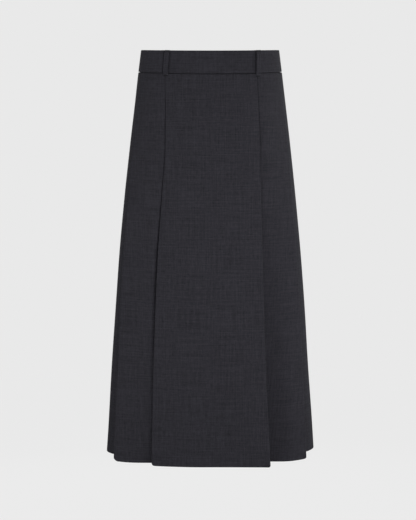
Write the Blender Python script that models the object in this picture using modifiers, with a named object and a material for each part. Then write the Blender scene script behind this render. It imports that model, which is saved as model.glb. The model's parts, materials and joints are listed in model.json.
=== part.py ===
"""Pleated midi skirt, filled out as it is worn.

Metres, +Z up, front towards -Y. The origin is the middle of the waistband's ring, halfway up the band.
Every ring of cloth is drawn on an oval, the outline of the skirt seen from above at that height. A point
of a ring is given by how far round the oval it lies from the centre line and how deep inside the oval.
"""

import math
from collections import namedtuple

import bmesh
import bpy
import numpy as np
from mathutils import Matrix, Vector

MM = 0.001

# Walls and gaps
CLOTH = 1.2 * MM
BAND_WALL = 2.5 * MM
LOOP_WALL = 1.4 * MM
TAPE_WALL = 1.0 * MM
SEAM_GAP = 0.3 * MM
LAYER_PITCH = 1.7 * MM  # from one layer of a pressed pleat to the next

# Heights
BAND_TOP = 0.0215
WAIST_SEAM = -0.0198
PLEAT_RELEASE = -0.095  # the pleats are sewn down to here
HEM = -0.7475
FRONT_DIP = 1.5 * MM  # the waist sits this much lower at the centre front than at the sides
DIP_ENDS = -0.150
HEM_ROLL = 3.2 * MM  # the hem hangs this much lower at the left side, and higher at the right
ROLL_STARTS = -0.450

# The oval: its outer half sizes, and how square it is (2 is an ellipse)
Oval = namedtuple("Oval", "height half_width half_depth power")
OVALS = (
    Oval(BAND_TOP, 0.1307, 0.0980, 2.10),
    Oval(WAIST_SEAM, 0.1361, 0.1022, 2.10),
    Oval(PLEAT_RELEASE, 0.1451, 0.1100, 2.12),
    Oval(-0.150, 0.1517, 0.1160, 2.14),
    Oval(-0.250, 0.1630, 0.1245, 2.17),
    Oval(-0.360, 0.1737, 0.1325, 2.20),
    Oval(-0.450, 0.1809, 0.1380, 2.22),
    Oval(-0.600, 0.1912, 0.1470, 2.26),
    Oval(HEM, 0.2006, 0.1545, 2.30),
)

# A knife pleat: the outer fold, the hidden root that the cloth turns back at, and where the next panel
# comes out from under the fold. Places are girths from the centre line, and "out" and "in" are depths
# from the oval.
Pleat = namedtuple("Pleat", "height fold out root root_in next next_in")
PRESSED_ROOT = 1.5 * LAYER_PITCH
PRESSED_NEXT = 2.0 * LAYER_PITCH
CENTRE_PLEAT = (
    Pleat(WAIST_SEAM, 0.0904, 0.0, 0.0650, PRESSED_ROOT, 0.0935, PRESSED_NEXT),
    Pleat(PLEAT_RELEASE, 0.0937, 0.0, 0.0680, PRESSED_ROOT, 0.0970, PRESSED_NEXT),
    Pleat(-0.150, 0.0960, 0.0010, 0.0680, 0.0045, 0.1020, 0.0052),
    Pleat(-0.250, 0.0974, 0.0034, 0.0680, 0.0080, 0.1080, 0.0090),
    Pleat(-0.360, 0.0982, 0.0068, 0.0685, 0.0115, 0.1135, 0.0125),
    Pleat(-0.450, 0.0988, 0.0100, 0.0695, 0.0143, 0.1170, 0.0152),
    Pleat(-0.600, 0.1020, 0.0152, 0.0720, 0.0182, 0.1225, 0.0186),
    Pleat(HEM, 0.1077, 0.0200, 0.0750, 0.0215, 0.1260, 0.0212),
)
LEFT_CENTRE_PLEAT = (
    Pleat(WAIST_SEAM, 0.0870, 0.0, 0.0620, PRESSED_ROOT, 0.0901, PRESSED_NEXT),
    Pleat(PLEAT_RELEASE, 0.0864, 0.0, 0.0610, PRESSED_ROOT, 0.0900, PRESSED_NEXT),
    Pleat(-0.150, 0.0864, 0.0004, 0.0600, 0.0050, 0.0960, 0.0058),
    Pleat(-0.250, 0.0934, 0.0012, 0.0645, 0.0095, 0.1060, 0.0098),
    Pleat(-0.360, 0.1018, 0.0018, 0.0700, 0.0140, 0.1130, 0.0132),
    Pleat(-0.450, 0.1062, 0.0022, 0.0725, 0.0172, 0.1170, 0.0158),
    Pleat(-0.600, 0.1088, 0.0030, 0.0750, 0.0220, 0.1225, 0.0188),
    Pleat(HEM, 0.1118, 0.0036, 0.0775, 0.0260, 0.1260, 0.0212),
)
SIDE_PLEAT = (
    Pleat(WAIST_SEAM, 0.1576, 0.0, 0.1325, PRESSED_ROOT, 0.1607, PRESSED_NEXT),
    Pleat(PLEAT_RELEASE, 0.1660, 0.0, 0.1405, PRESSED_ROOT, 0.1695, PRESSED_NEXT),
    Pleat(-0.150, 0.1695, 0.0006, 0.1460, 0.0060, 0.1780, 0.0050),
    Pleat(-0.250, 0.1716, 0.0018, 0.1560, 0.0140, 0.1930, 0.0080),
    Pleat(-0.360, 0.1784, 0.0032, 0.1730, 0.0225, 0.2110, 0.0100),
    Pleat(-0.450, 0.1830, 0.0043, 0.1840, 0.0290, 0.2230, 0.0112),
    Pleat(-0.600, 0.1895, 0.0058, 0.1985, 0.0375, 0.2400, 0.0126),
    Pleat(HEM, 0.1958, 0.0078, 0.2110, 0.0429, 0.2540, 0.0137),
)

# How far the middle of the side front lies inside the oval, between its two folds
Sag = namedtuple("Sag", "height middle_in")
SIDE_FRONT_SAG = (
    Sag(WAIST_SEAM, 0.0003),
    Sag(PLEAT_RELEASE, 0.0004),
    Sag(-0.250, 0.0012),
    Sag(HEM, 0.0012),
)
FOLD_RADIUS_AT_HEM = 1.9 * MM
PANEL_FLATNESS = 2.3  # how late the centre panel leaves the oval on its way to its fold
PANEL_STATIONS = (0.0, 0.35, 0.65, 0.88)  # shares of the way from the centre line to the fold

# Straight steps of a ring, for one quarter of it
CENTRE_STEPS = 8
ARC_STEPS = 4
UNDERLAY_STEPS = 3
SIDE_FRONT_STEPS = 9
SIDE_STEPS = 6
BAND_STEPS = 14
OVAL_SAMPLES = 400
SKIRT_ROWS = (
    WAIST_SEAM - SEAM_GAP / 2, -0.058, PLEAT_RELEASE, -0.122, -0.150, -0.200,
    -0.250, -0.305, -0.360, -0.450, -0.550, -0.650, HEM,
)
BAND_ROWS = (WAIST_SEAM + SEAM_GAP / 2, -0.008, 0.007, BAND_TOP)

# Belt loops: the girth of their middle from the centre line, at the top and at the bottom
Loop = namedtuple("Loop", "name side end top bottom")
LEFT, RIGHT, FRONT, BACK = -1, 1, -1, 1
LOOPS = (
    Loop("belt_loop_front_left", LEFT, FRONT, 0.0814, 0.0850),
    Loop("belt_loop_front_right", RIGHT, FRONT, 0.0932, 0.0926),
    Loop("belt_loop_back_left", LEFT, BACK, 0.0930, 0.0930),
    Loop("belt_loop_back_right", RIGHT, BACK, 0.0930, 0.0930),
)
LOOP_WIDTH = 10.0 * MM
LOOP_CLEARANCE = 3.0 * MM  # room for a belt
LOOP_TOP = BAND_TOP + 0.8 * MM
LOOP_BOTTOM = WAIST_SEAM - 7.5 * MM
LOOP_FOOT = 4.0 * MM  # length that lies on the band or the panel at each end
LOOP_BEND = 3.0 * MM
LOOP_BEND_STEPS = 4
LOOP_ACROSS_STEPS = 2

# Concealed zip at the centre back
ZIP_BOTTOM = -0.215
TAPE_WIDTH = 24.0 * MM
TAPE_ACROSS = (-0.5, -0.25, 0.0, 0.25, 0.5)  # shares of its width
TAPE_ROWS = (ZIP_BOTTOM, -0.150, -0.095, -0.060, -0.031, WAIST_SEAM, 0.0, BAND_TOP - 1.5 * MM)
TAPE_STEP_LENGTH = 11.0 * MM  # over which the tape steps from behind the skirt to behind the band
SLIDER_HEIGHT = 0.0165
NOTCH_WIDTH = 2.6 * MM
NECK_WIDTH = 1.2 * MM
NECK_HEIGHT = 3.0 * MM
SLIDER_SIZE = Vector((5.4, 1.5, 7.0)) * MM
SLIDER_BEVEL = 0.45 * MM
BAR_RADIUS = 0.6 * MM
BAR_LENGTH = 5.0 * MM
BAR_OUT = 1.9 * MM  # from the band's face to the bar's middle
PULL_BORE = 0.8 * MM
KNUCKLE_RADIUS = 1.4 * MM
KNUCKLE_LENGTH = 4.4 * MM
PULL_LENGTH = 22.0 * MM
PULL_TOP_WIDTH = 3.2 * MM
PULL_TIP_RADIUS = 2.4 * MM
PULL_WALL = 1.2 * MM
PULL_SLOT = 2.0 * MM
PULL_SLOT_DEPTH = 2.3 * MM
PULL_TIP_GAP = 0.3 * MM
CUT_OVERRUN = 4.0 * MM  # how far a cutter reaches past what it cuts
NOTCH_DEPTH = 20.0 * MM
ROUND_SIDES = 20
TIP_SIDES = 10
EDGE_ANGLE = math.radians(40)
WELD = 0.001 * MM

CHARCOAL = (0.027, 0.026, 0.032)
BLACK_TAPE = (0.012, 0.012, 0.014)
DARK_METAL = (0.075, 0.075, 0.080)


# ---------------------------------------------------------------- tables and rings


def column(rows, name, height):
    """The value of a table's column at a height: a smooth curve through the rows that never overshoots."""
    rows = sorted(rows, key=lambda row: row.height)
    xs = np.array([row.height for row in rows])
    ys = np.array([getattr(row, name) for row in rows])
    rises = np.diff(ys) / np.diff(xs)
    slopes = np.zeros(len(xs))
    slopes[0], slopes[-1] = rises[0], rises[-1]
    for k in range(1, len(xs) - 1):
        if rises[k - 1] * rises[k] > 0:
            slopes[k] = 2 / (1 / rises[k - 1] + 1 / rises[k])
    height = min(max(height, xs[0]), xs[-1])
    k = min(np.searchsorted(xs, height, side="right") - 1, len(xs) - 2)
    width = xs[k + 1] - xs[k]
    t = (height - xs[k]) / width
    return (
        ys[k] * (1 + 2 * t) * (1 - t) ** 2
        + ys[k + 1] * t * t * (3 - 2 * t)
        + slopes[k] * width * t * (1 - t) ** 2
        - slopes[k + 1] * width * t * t * (1 - t)
    )


def eased(start, end, value):
    """0 at start, 1 at end, with a soft change between."""
    t = min(max((value - start) / (end - start), 0.0), 1.0)
    return t * t * (3 - 2 * t)


class Ring:
    """The oval at one height, drawn inset from its outer outline."""

    def __init__(self, height, inset=0.0):
        self.height = height
        self.half_width = column(OVALS, "half_width", height) - inset
        self.half_depth = column(OVALS, "half_depth", height) - inset
        power = column(OVALS, "power", height)
        turn = np.linspace(0, math.pi / 2, OVAL_SAMPLES)
        x = np.sin(turn) ** (2 / power)
        y = np.cos(turn) ** (2 / power)
        y[-1] = 0.0
        self.x = self.half_width * x
        self.y = self.half_depth * y
        steps = np.hypot(np.diff(self.x), np.diff(self.y))
        self.along = np.concatenate([[0.0], np.cumsum(steps)])
        self.length = self.along[-1]
        normal_x = x ** (power - 1) / self.half_width
        normal_y = y ** (power - 1) / self.half_depth
        size = np.hypot(normal_x, normal_y)
        self.normal_x, self.normal_y = normal_x / size, normal_y / size

    def place(self, along, out, side, end):
        """The point this far round from the centre line and this far outside the oval."""
        reach = min(max(along, 0.0), self.length)
        x, y, normal_x, normal_y = (
            np.interp(reach, self.along, values)
            for values in (self.x, self.y, self.normal_x, self.normal_y)
        )
        x, y = side * (x + out * normal_x), end * (y + out * normal_y)
        return (x, y, self.height + self.lift(x, y))

    def lift(self, x, y):
        """How far the waist's dip and the hem's roll move a point of this ring up."""
        dip = -FRONT_DIP * min(y / self.half_depth, 0.0) ** 2 * eased(DIP_ENDS, WAIST_SEAM, self.height)
        roll = HEM_ROLL * (x / self.half_width) ** 3 * eased(ROLL_STARTS, HEM, self.height)
        return dip + roll


def left_of(direction):
    return np.array((-direction[1], direction[0]))


def shared_tangent(first, second):
    """Where a taut thread leaves one peg and meets the next. A peg is (centre, signed radius)."""
    (start, start_radius), (end, end_radius) = first, second
    run = end - start
    length = np.linalg.norm(run)
    lean = (start_radius - end_radius) / length
    forward = run / length
    normal = lean * forward + math.sqrt(1 - lean * lean) * left_of(forward)
    return start + normal * start_radius, end + normal * end_radius, normal


def smooth_run(points, steps, start_direction=None, end_direction=None):
    """A smooth curve through the points, in equal steps of its length between them."""
    points = [np.array(point, float) for point in points]
    marks = np.concatenate([[0.0], np.cumsum([np.linalg.norm(b - a) for a, b in zip(points, points[1:])])])
    slopes = [(points[1] - points[0]) / (marks[1] - marks[0])]
    for k in range(1, len(points) - 1):
        slopes.append((points[k + 1] - points[k - 1]) / (marks[k + 1] - marks[k - 1]))
    slopes.append((points[-1] - points[-2]) / (marks[-1] - marks[-2]))
    if start_direction is not None:
        slopes[0] = np.array(start_direction, float)
    if end_direction is not None:
        slopes[-1] = np.array(end_direction, float)
    run = []
    for mark in np.linspace(0, marks[-1], steps + 1):
        k = min(np.searchsorted(marks, mark, side="right") - 1, len(marks) - 2)
        width = marks[k + 1] - marks[k]
        t = (mark - marks[k]) / width
        run.append(
            points[k] * (1 + 2 * t) * (1 - t) ** 2
            + points[k + 1] * t * t * (3 - 2 * t)
            + slopes[k] * width * t * (1 - t) ** 2
            - slopes[k + 1] * width * t * t * (1 - t)
        )
    return run


def arc(peg, start_normal, end_normal):
    """The thread round a peg, without its two ends."""
    centre, radius = peg
    start = math.atan2(start_normal[1], start_normal[0])
    end = math.atan2(end_normal[1], end_normal[0])
    sweep = (end - start) % (2 * math.pi)
    if radius > 0:
        sweep -= 2 * math.pi
    angles = [start + sweep * k / ARC_STEPS for k in range(1, ARC_STEPS)]
    return [centre + radius * np.array((math.cos(a), math.sin(a))) for a in angles]


def quarter(height, length, centre_pleat):
    """The cloth from the centre line to the side seam, as (girth, depth inside the oval) points."""
    radius = LAYER_PITCH / 2
    radius += (FOLD_RADIUS_AT_HEM - radius) * eased(PLEAT_RELEASE, HEM, height)

    def at(rows, name):
        return column(rows, name, height)

    def pegs(rows):
        outer = np.array((at(rows, "fold") - radius, radius - at(rows, "out")))
        inner = np.array((at(rows, "root") + radius, at(rows, "root_in")))
        return (outer, -radius), (inner, radius)

    centre_fold, centre_root = pegs(centre_pleat)
    side_fold, side_root = pegs(SIDE_PLEAT)
    fold, out = at(centre_pleat, "fold"), at(centre_pleat, "out")
    panel = [np.array((share * fold, -out * share**PANEL_FLATNESS)) for share in PANEL_STATIONS]
    side_start = np.array((at(centre_pleat, "next"), at(centre_pleat, "next_in")))
    side_middle = np.array(
        ((side_start[0] + side_fold[0][0]) / 2, column(SIDE_FRONT_SAG, "middle_in", height))
    )
    far_start = np.array((at(SIDE_PLEAT, "next"), at(SIDE_PLEAT, "next_in")))
    seam = np.array((length - SEAM_GAP / 2, 0.0))

    _, fold_in, fold_normal = shared_tangent((panel[-1], 0.0), centre_fold)
    under_start, under_end, under_normal = shared_tangent(centre_fold, centre_root)
    root_out, _, root_normal = shared_tangent(centre_root, (side_start, 0.0))
    _, side_in, side_normal = shared_tangent((side_middle, 0.0), side_fold)
    far_under_start, far_under_end, far_under_normal = shared_tangent(side_fold, side_root)
    far_root_out, _, far_root_normal = shared_tangent(side_root, (far_start, 0.0))

    thread = smooth_run(panel + [fold_in], CENTRE_STEPS, start_direction=(1, 0))
    thread += arc(centre_fold, fold_normal, under_normal)
    thread += smooth_run([under_start, under_end], UNDERLAY_STEPS)
    thread += arc(centre_root, under_normal, root_normal)
    thread += smooth_run([root_out, side_start, side_middle, side_in], SIDE_FRONT_STEPS)
    thread += arc(side_fold, side_normal, far_under_normal)
    thread += smooth_run([far_under_start, far_under_end], UNDERLAY_STEPS)
    thread += arc(side_root, far_under_normal, far_root_normal)
    thread += smooth_run([far_root_out, far_start, seam], SIDE_STEPS, end_direction=(1, 0))
    return thread


# ---------------------------------------------------------------- objects


def collection(name):
    made = bpy.data.collections.new(name)
    bpy.context.scene.collection.children.link(made)
    return made


def material(name, colour, roughness, metallic=0.0):
    made = bpy.data.materials.new(name)
    made.use_nodes = True
    shader = made.node_tree.nodes["Principled BSDF"]
    shader.inputs["Base Color"].default_value = (*colour, 1.0)
    shader.inputs["Roughness"].default_value = roughness
    shader.inputs["Metallic"].default_value = metallic
    made.diffuse_color = (*colour, 1.0)
    return made


def placed(name, mesh, home, finish):
    """An object of this mesh and material, shaded smooth between its sharp edges."""
    mesh.materials.append(finish)
    mesh.shade_smooth()
    mesh.set_sharp_from_angle(angle=EDGE_ANGLE)
    made = bpy.data.objects.new(name, mesh)
    home.objects.link(made)
    return made


def loft(name, points, faces, home, finish):
    mesh = bpy.data.meshes.new(name)
    mesh.from_pydata([tuple(point) for point in points], [], faces)
    return placed(name, mesh, home, finish)


def strip_faces(rows, width, first=0):
    """The triangles of a strip of points in rows of this many, each cell cut along the same diagonal."""
    return [
        tuple(first + k + spot for spot in triangle)
        for k in range(0, (rows - 1) * width, width)
        for j in range(width - 1)
        for triangle in ((j, j + 1, width + j + 1), (j, width + j + 1, width + j))
    ]


def plan_offset(row, distance):
    """A ring of cloth moved sideways in plan, to the right of its run, which is outwards."""
    spots = np.array([point[:2] for point in row])
    steps = np.diff(spots, axis=0)
    steps /= np.linalg.norm(steps, axis=1)[:, None]
    before = np.vstack([steps[:1], steps])
    after = np.vstack([steps, steps[-1:]])
    mean = before + after
    mean /= np.linalg.norm(mean, axis=1)[:, None]
    mitre = distance / np.einsum("ij,ij->i", mean, after)
    moved = spots + np.column_stack([mean[:, 1], -mean[:, 0]]) * mitre[:, None]
    return [(x, y, point[2]) for (x, y), point in zip(moved, row)]


def cloth_wall(name, rows, out, inwards, home, finish):
    """A closed wall through rows of points that run round the body, with level edges and upright ends."""
    width, count = len(rows[0]), len(rows)
    outer = [point for row in rows for point in plan_offset(row, out)]
    inner = [point for row in rows for point in plan_offset(row, -inwards)]
    back = len(outer)
    faces = strip_faces(count, width)
    faces += [tuple(reversed(face)) for face in strip_faces(count, width, back)]
    last = (count - 1) * width
    for j in range(width - 1):
        faces.append((j + 1, j, back + j, back + j + 1))
        faces.append((last + j, last + j + 1, back + last + j + 1, back + last + j))
    for k in range(0, last, width):
        faces.append((k, k + width, back + k + width, back + k))
        end = k + width - 1
        faces.append((end + width, end, back + end, back + end + width))
    return loft(name, outer + inner, faces, home, finish)


def bent_strip(name, rows, wall, home, finish):
    """A strip lofted through rows of points along its middle layer, given its wall by Solidify."""
    points = [point for row in rows for point in row]
    made = loft(name, points, strip_faces(len(rows), len(rows[0])), home, finish)
    thick = made.modifiers.new("wall", "SOLIDIFY")
    thick.thickness = wall
    thick.offset = 0.0
    thick.use_even_offset = True
    return made


def empty(name, matrix, home):
    """A mark that pieces are placed on, by their parent."""
    made = bpy.data.objects.new(name, None)
    made.matrix_world = matrix
    home.objects.link(made)
    return made


def mesh_from(name, shape):
    mesh = bpy.data.meshes.new(name)
    shape.to_mesh(mesh)
    shape.free()
    return mesh


def block(name, size, home, finish):
    shape = bmesh.new()
    bmesh.ops.create_cube(shape, size=1.0, matrix=Matrix.Diagonal((*size, 1.0)))
    return placed(name, mesh_from(name, shape), home, finish)


def rod(name, radius, length, home, finish):
    """A cylinder along its own first axis."""
    shape = bmesh.new()
    bmesh.ops.create_cone(
        shape, cap_ends=True, segments=ROUND_SIDES, radius1=radius, radius2=radius,
        depth=length, matrix=Matrix.Rotation(math.pi / 2, 4, "Y"),
    )
    return placed(name, mesh_from(name, shape), home, finish)


def plate(name, outline, wall, home, finish):
    """A flat outline of (across, up) points, with half its wall on each side, standing upright."""
    curve = bpy.data.curves.new(name, "CURVE")
    curve.dimensions = "2D"
    curve.fill_mode = "BOTH"
    curve.extrude = wall / 2
    spline = curve.splines.new("POLY")
    spline.points.add(len(outline) - 1)
    spline.use_cyclic_u = True
    for point, (across, up) in zip(spline.points, outline):
        point.co = (across, up, 0.0, 1.0)
    drawn = bpy.data.objects.new(name + "_outline", curve)
    home.objects.link(drawn)
    filled = drawn.evaluated_get(bpy.context.evaluated_depsgraph_get())
    shape = bmesh.new()
    shape.from_mesh(bpy.data.meshes.new_from_object(filled))
    bpy.data.objects.remove(drawn)
    bmesh.ops.remove_doubles(shape, verts=shape.verts, dist=WELD)
    shape.transform(Matrix.Rotation(math.pi / 2, 4, "X"))
    return placed(name, mesh_from(name, shape), home, finish)


def on(mark, made, matrix=None):
    """Hang a piece on a mark, moved and turned from it by the matrix."""
    made.parent = mark
    made.matrix_local = matrix or Matrix()
    return made


def boolean(made, kind, other):
    change = made.modifiers.new(other.name, "BOOLEAN")
    change.operation = kind
    change.object = other


def as_cutter(made):
    made.hide_render = True
    made.display_type = "WIRE"
    return made


# ---------------------------------------------------------------- the cloth


def front_row(height):
    """One ring of the front panel, from the left side seam past the centre to the right one."""
    ring = Ring(height, CLOTH / 2)
    left = quarter(height, ring.length, LEFT_CENTRE_PLEAT)
    right = quarter(height, ring.length, CENTRE_PLEAT)
    return [ring.place(along, -inset, LEFT, FRONT) for along, inset in reversed(left)] + [
        ring.place(along, -inset, RIGHT, FRONT) for along, inset in right[1:]
    ]


def back_row(height, side):
    """One ring of a back panel, between its side seam and the centre back, left to right from behind."""
    ring = Ring(height, CLOTH / 2)
    cloth = quarter(height, ring.length, CENTRE_PLEAT)
    cloth[0] = np.array((SEAM_GAP / 2, 0.0))
    if side == RIGHT:
        cloth.reverse()
    return [ring.place(along, -inset, side, BACK) for along, inset in cloth]


def make_skirt(parts, cloth):
    rows = sorted(SKIRT_ROWS)
    half = CLOTH / 2
    cloth_wall("skirt_front", [front_row(height) for height in rows], half, half, parts, cloth)
    for name, side in (("skirt_back_left", LEFT), ("skirt_back_right", RIGHT)):
        cloth_wall(name, [back_row(height, side) for height in rows], half, half, parts, cloth)


def band_row(height):
    """The waistband's outer face at one height, from the centre back all the way round."""
    ring = Ring(height)
    shares = np.linspace(0, 1, BAND_STEPS + 1)
    start = SEAM_GAP / 2
    opening = [start + (ring.length - start) * share for share in shares]
    whole = [ring.length * share for share in shares]
    return (
        [ring.place(along, 0.0, LEFT, BACK) for along in opening]
        + [ring.place(along, 0.0, LEFT, FRONT) for along in reversed(whole[:-1])]
        + [ring.place(along, 0.0, RIGHT, FRONT) for along in whole[1:]]
        + [ring.place(along, 0.0, RIGHT, BACK) for along in reversed(opening[:-1])]
    )


def make_waistband(parts, cloth, notch):
    rows = [band_row(height) for height in BAND_ROWS]
    band = cloth_wall("waistband", rows, 0.0, BAND_WALL, parts, cloth)
    boolean(band, "DIFFERENCE", notch)


def loop_profile():
    """(height, distance from the band's face) of a loop's middle layer, from its foot to its top."""
    low = SEAM_GAP + LOOP_WALL / 2
    high = LOOP_CLEARANCE + LOOP_WALL / 2
    bend = [eased(0, 1, k / LOOP_BEND_STEPS) for k in range(LOOP_BEND_STEPS + 1)]
    spots = [k / LOOP_BEND_STEPS * LOOP_BEND for k in range(LOOP_BEND_STEPS + 1)]
    foot, head = LOOP_BOTTOM + LOOP_FOOT, LOOP_TOP - LOOP_FOOT
    rise = [(foot + spot, low + (high - low) * share) for spot, share in zip(spots, bend)]
    fall = [(head - spot, low + (high - low) * share) for spot, share in zip(spots, bend)]
    return [(LOOP_BOTTOM, low)] + rise + list(reversed(fall)) + [(LOOP_TOP, low)]


def make_belt_loops(parts, cloth):
    for loop in LOOPS:
        rows = []
        for height, out in loop_profile():
            ring = Ring(height)
            share = (height - LOOP_BOTTOM) / (LOOP_TOP - LOOP_BOTTOM)
            middle = loop.bottom + (loop.top - loop.bottom) * share
            across = [
                middle + LOOP_WIDTH * (k / LOOP_ACROSS_STEPS - 0.5)
                for k in range(LOOP_ACROSS_STEPS + 1)
            ]
            if loop.side * loop.end > 0:
                across.reverse()
            rows.append([ring.place(along, out, loop.side, loop.end) for along in across])
        if loop.end == FRONT:
            rows = [list(reversed(row)) for row in rows]
        bent_strip(loop.name, rows, LOOP_WALL, parts, cloth)


# ---------------------------------------------------------------- the zip


def tape_depth(height):
    """How far the middle of the tape lies inside the outer face at the centre back."""
    behind_cloth = CLOTH + SEAM_GAP + TAPE_WALL / 2
    behind_band = BAND_WALL + SEAM_GAP + TAPE_WALL / 2
    share = eased(WAIST_SEAM - TAPE_STEP_LENGTH, WAIST_SEAM, height)
    return behind_cloth + (behind_band - behind_cloth) * share


def make_zip_tape(parts, tape, notch):
    rows = []
    for height in TAPE_ROWS:
        ring = Ring(height)
        row = []
        for share in reversed(TAPE_ACROSS):
            side = RIGHT if share > 0 else LEFT
            row.append(ring.place(abs(share) * TAPE_WIDTH, -tape_depth(height), side, BACK))
        rows.append(row)
    boolean(bent_strip("zip_tape", rows, TAPE_WALL, parts, tape), "DIFFERENCE", notch)


def slider_frame():
    """The zip's own axes at the slider: across, out of the cloth and up along it, from the band's face."""
    step = 1.0 * MM
    low, high = (Vector(Ring(SLIDER_HEIGHT + move).place(0, 0, RIGHT, BACK)) for move in (-step, step))
    up = (high - low).normalized()
    across = Vector((1, 0, 0))
    out = up.cross(across)
    turn = Matrix((across, out, up)).transposed().to_4x4()
    return Matrix.Translation((low + high) / 2) @ turn


def make_zip_notch(cutters, metal, slider_mark):
    """The short opening at the top of the centre back that the slider's neck stands in."""
    bottom = -NECK_HEIGHT / 2 - (NOTCH_WIDTH - NECK_WIDTH) / 2
    height = BAND_TOP - SLIDER_HEIGHT + CUT_OVERRUN - bottom
    notch = as_cutter(block("zip_notch", (NOTCH_WIDTH, NOTCH_DEPTH, height), cutters, metal))
    return on(slider_mark, notch, Matrix.Translation((0, 0, bottom + height / 2)))


def make_zip_slider(parts, cutters, metal, slider_mark):
    """The slider's body behind the tape, with a neck out through the notch to the pull's bar."""
    back = BAND_WALL + SEAM_GAP + TAPE_WALL + SEAM_GAP
    slider = block("zip_slider", SLIDER_SIZE, parts, metal)
    on(slider_mark, slider, Matrix.Translation((0, -back - SLIDER_SIZE[1] / 2, 0)))
    bevel = slider.modifiers.new("soft_edges", "BEVEL")
    bevel.width = SLIDER_BEVEL
    bevel.segments = 2
    reach = back + SLIDER_SIZE[1] / 2 + BAR_OUT
    neck = block("slider_neck", (NECK_WIDTH, reach, NECK_HEIGHT), cutters, metal)
    on(slider_mark, neck, Matrix.Translation((0, BAR_OUT - reach / 2, 0)))
    bar = rod("slider_bar", BAR_RADIUS, BAR_LENGTH, cutters, metal)
    on(slider_mark, bar, Matrix.Translation((0, BAR_OUT, 0)))
    for helper in (neck, bar):
        boolean(slider, "UNION", as_cutter(helper))


def pull_outline():
    """The pull's plate seen from outside, as (across, up) points, with a round tip."""
    drop = PULL_LENGTH - PULL_TIP_RADIUS
    half_top = PULL_TOP_WIDTH / 2
    turns = [math.pi * k / TIP_SIDES for k in range(TIP_SIDES + 1)]
    tip = [(PULL_TIP_RADIUS * math.cos(turn), -drop - PULL_TIP_RADIUS * math.sin(turn)) for turn in turns]
    return [(-half_top, 0.0), (half_top, 0.0)] + tip


def make_zip_pull(parts, cutters, metal, slider_mark):
    """The pull tab, whose mark lies on the bar's axis and leans it until its tip rests by the band."""
    lean = math.asin((BAR_OUT - PULL_WALL / 2 - PULL_TIP_GAP) / PULL_LENGTH)
    hinge = Matrix.Translation((0, BAR_OUT, 0)) @ Matrix.Rotation(-lean, 4, "X")
    pull_mark = on(slider_mark, empty("zip_pull_mark", Matrix(), cutters), hinge)
    pull = on(pull_mark, plate("zip_pull", pull_outline(), PULL_WALL, parts, metal))
    knuckle = rod("pull_knuckle", KNUCKLE_RADIUS, KNUCKLE_LENGTH, cutters, metal)
    bore = rod("pull_bore", PULL_BORE, KNUCKLE_LENGTH + CUT_OVERRUN, cutters, metal)
    slot_size = (PULL_SLOT, PULL_WALL + CUT_OVERRUN, 2 * PULL_SLOT_DEPTH)
    slot = block("pull_slot", slot_size, cutters, metal)
    for kind, helper in (("UNION", knuckle), ("DIFFERENCE", bore), ("DIFFERENCE", slot)):
        boolean(pull, kind, as_cutter(on(pull_mark, helper)))


def main():
    for old in list(bpy.data.objects):
        bpy.data.objects.remove(old, do_unlink=True)
    parts = collection("pleated_midi_skirt")
    cutters = collection("cutters")
    cloth = material("charcoal_suiting", CHARCOAL, 0.85)
    tape = material("zip_tape_weave", BLACK_TAPE, 0.8)
    metal = material("dark_zip_metal", DARK_METAL, 0.35, 1.0)
    slider_mark = empty("zip_slider_mark", slider_frame(), cutters)
    notch = make_zip_notch(cutters, metal, slider_mark)
    make_skirt(parts, cloth)
    make_waistband(parts, cloth, notch)
    make_belt_loops(parts, cloth)
    make_zip_tape(parts, tape, notch)
    make_zip_slider(parts, cutters, metal, slider_mark)
    make_zip_pull(parts, cutters, metal, slider_mark)


main()
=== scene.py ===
"""Pleated midi skirt: its cloth, seams, belt loops and zip, dressed on the fixed frame.

Metres, +Z up, front towards -Y. Every ring of cloth lies on an oval, the outline of the skirt seen from above
at that height. A point of a ring is given by its girth, how far round the oval it lies from the centre line,
and its depth, how far inside the oval it lies.
"""

import json
import math
from collections import namedtuple

import bmesh
import bpy
import numpy as np
from bpy.props import FloatProperty, FloatVectorProperty, PointerProperty
from mathutils import Matrix, Vector

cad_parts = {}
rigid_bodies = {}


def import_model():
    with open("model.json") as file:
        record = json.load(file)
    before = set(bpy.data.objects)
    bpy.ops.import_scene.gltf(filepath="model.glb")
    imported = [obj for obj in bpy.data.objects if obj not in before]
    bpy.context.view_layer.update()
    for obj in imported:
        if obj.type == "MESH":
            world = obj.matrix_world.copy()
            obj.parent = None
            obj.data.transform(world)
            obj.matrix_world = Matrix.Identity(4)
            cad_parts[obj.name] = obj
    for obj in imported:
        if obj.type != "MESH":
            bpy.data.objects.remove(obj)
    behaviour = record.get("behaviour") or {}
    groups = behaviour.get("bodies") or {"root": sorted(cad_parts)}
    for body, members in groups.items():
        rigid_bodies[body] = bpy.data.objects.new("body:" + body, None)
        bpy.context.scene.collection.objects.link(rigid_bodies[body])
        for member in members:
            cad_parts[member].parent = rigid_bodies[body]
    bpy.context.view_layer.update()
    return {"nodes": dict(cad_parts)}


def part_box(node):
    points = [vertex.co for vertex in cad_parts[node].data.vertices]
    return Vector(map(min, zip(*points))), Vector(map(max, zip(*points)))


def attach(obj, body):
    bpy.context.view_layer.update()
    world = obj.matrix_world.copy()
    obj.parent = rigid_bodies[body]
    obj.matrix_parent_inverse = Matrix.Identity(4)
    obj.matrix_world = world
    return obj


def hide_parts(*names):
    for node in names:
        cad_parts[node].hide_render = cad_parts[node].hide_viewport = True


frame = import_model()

bl_info = {
    "name": "Pleated midi skirt",
    "version": (1, 0, 0),
    "blender": (4, 5, 0),
    "location": "3D View > Sidebar > Skirt",
    "description": "Dresses the skirt's frame with cloth, seams, belt loops and a concealed zip",
    "category": "Add Mesh",
}

MM = 0.001
SKIRT_BODY = "skirt"
LEFT, RIGHT, FRONT, BACK = -1, 1, -1, 1

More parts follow.
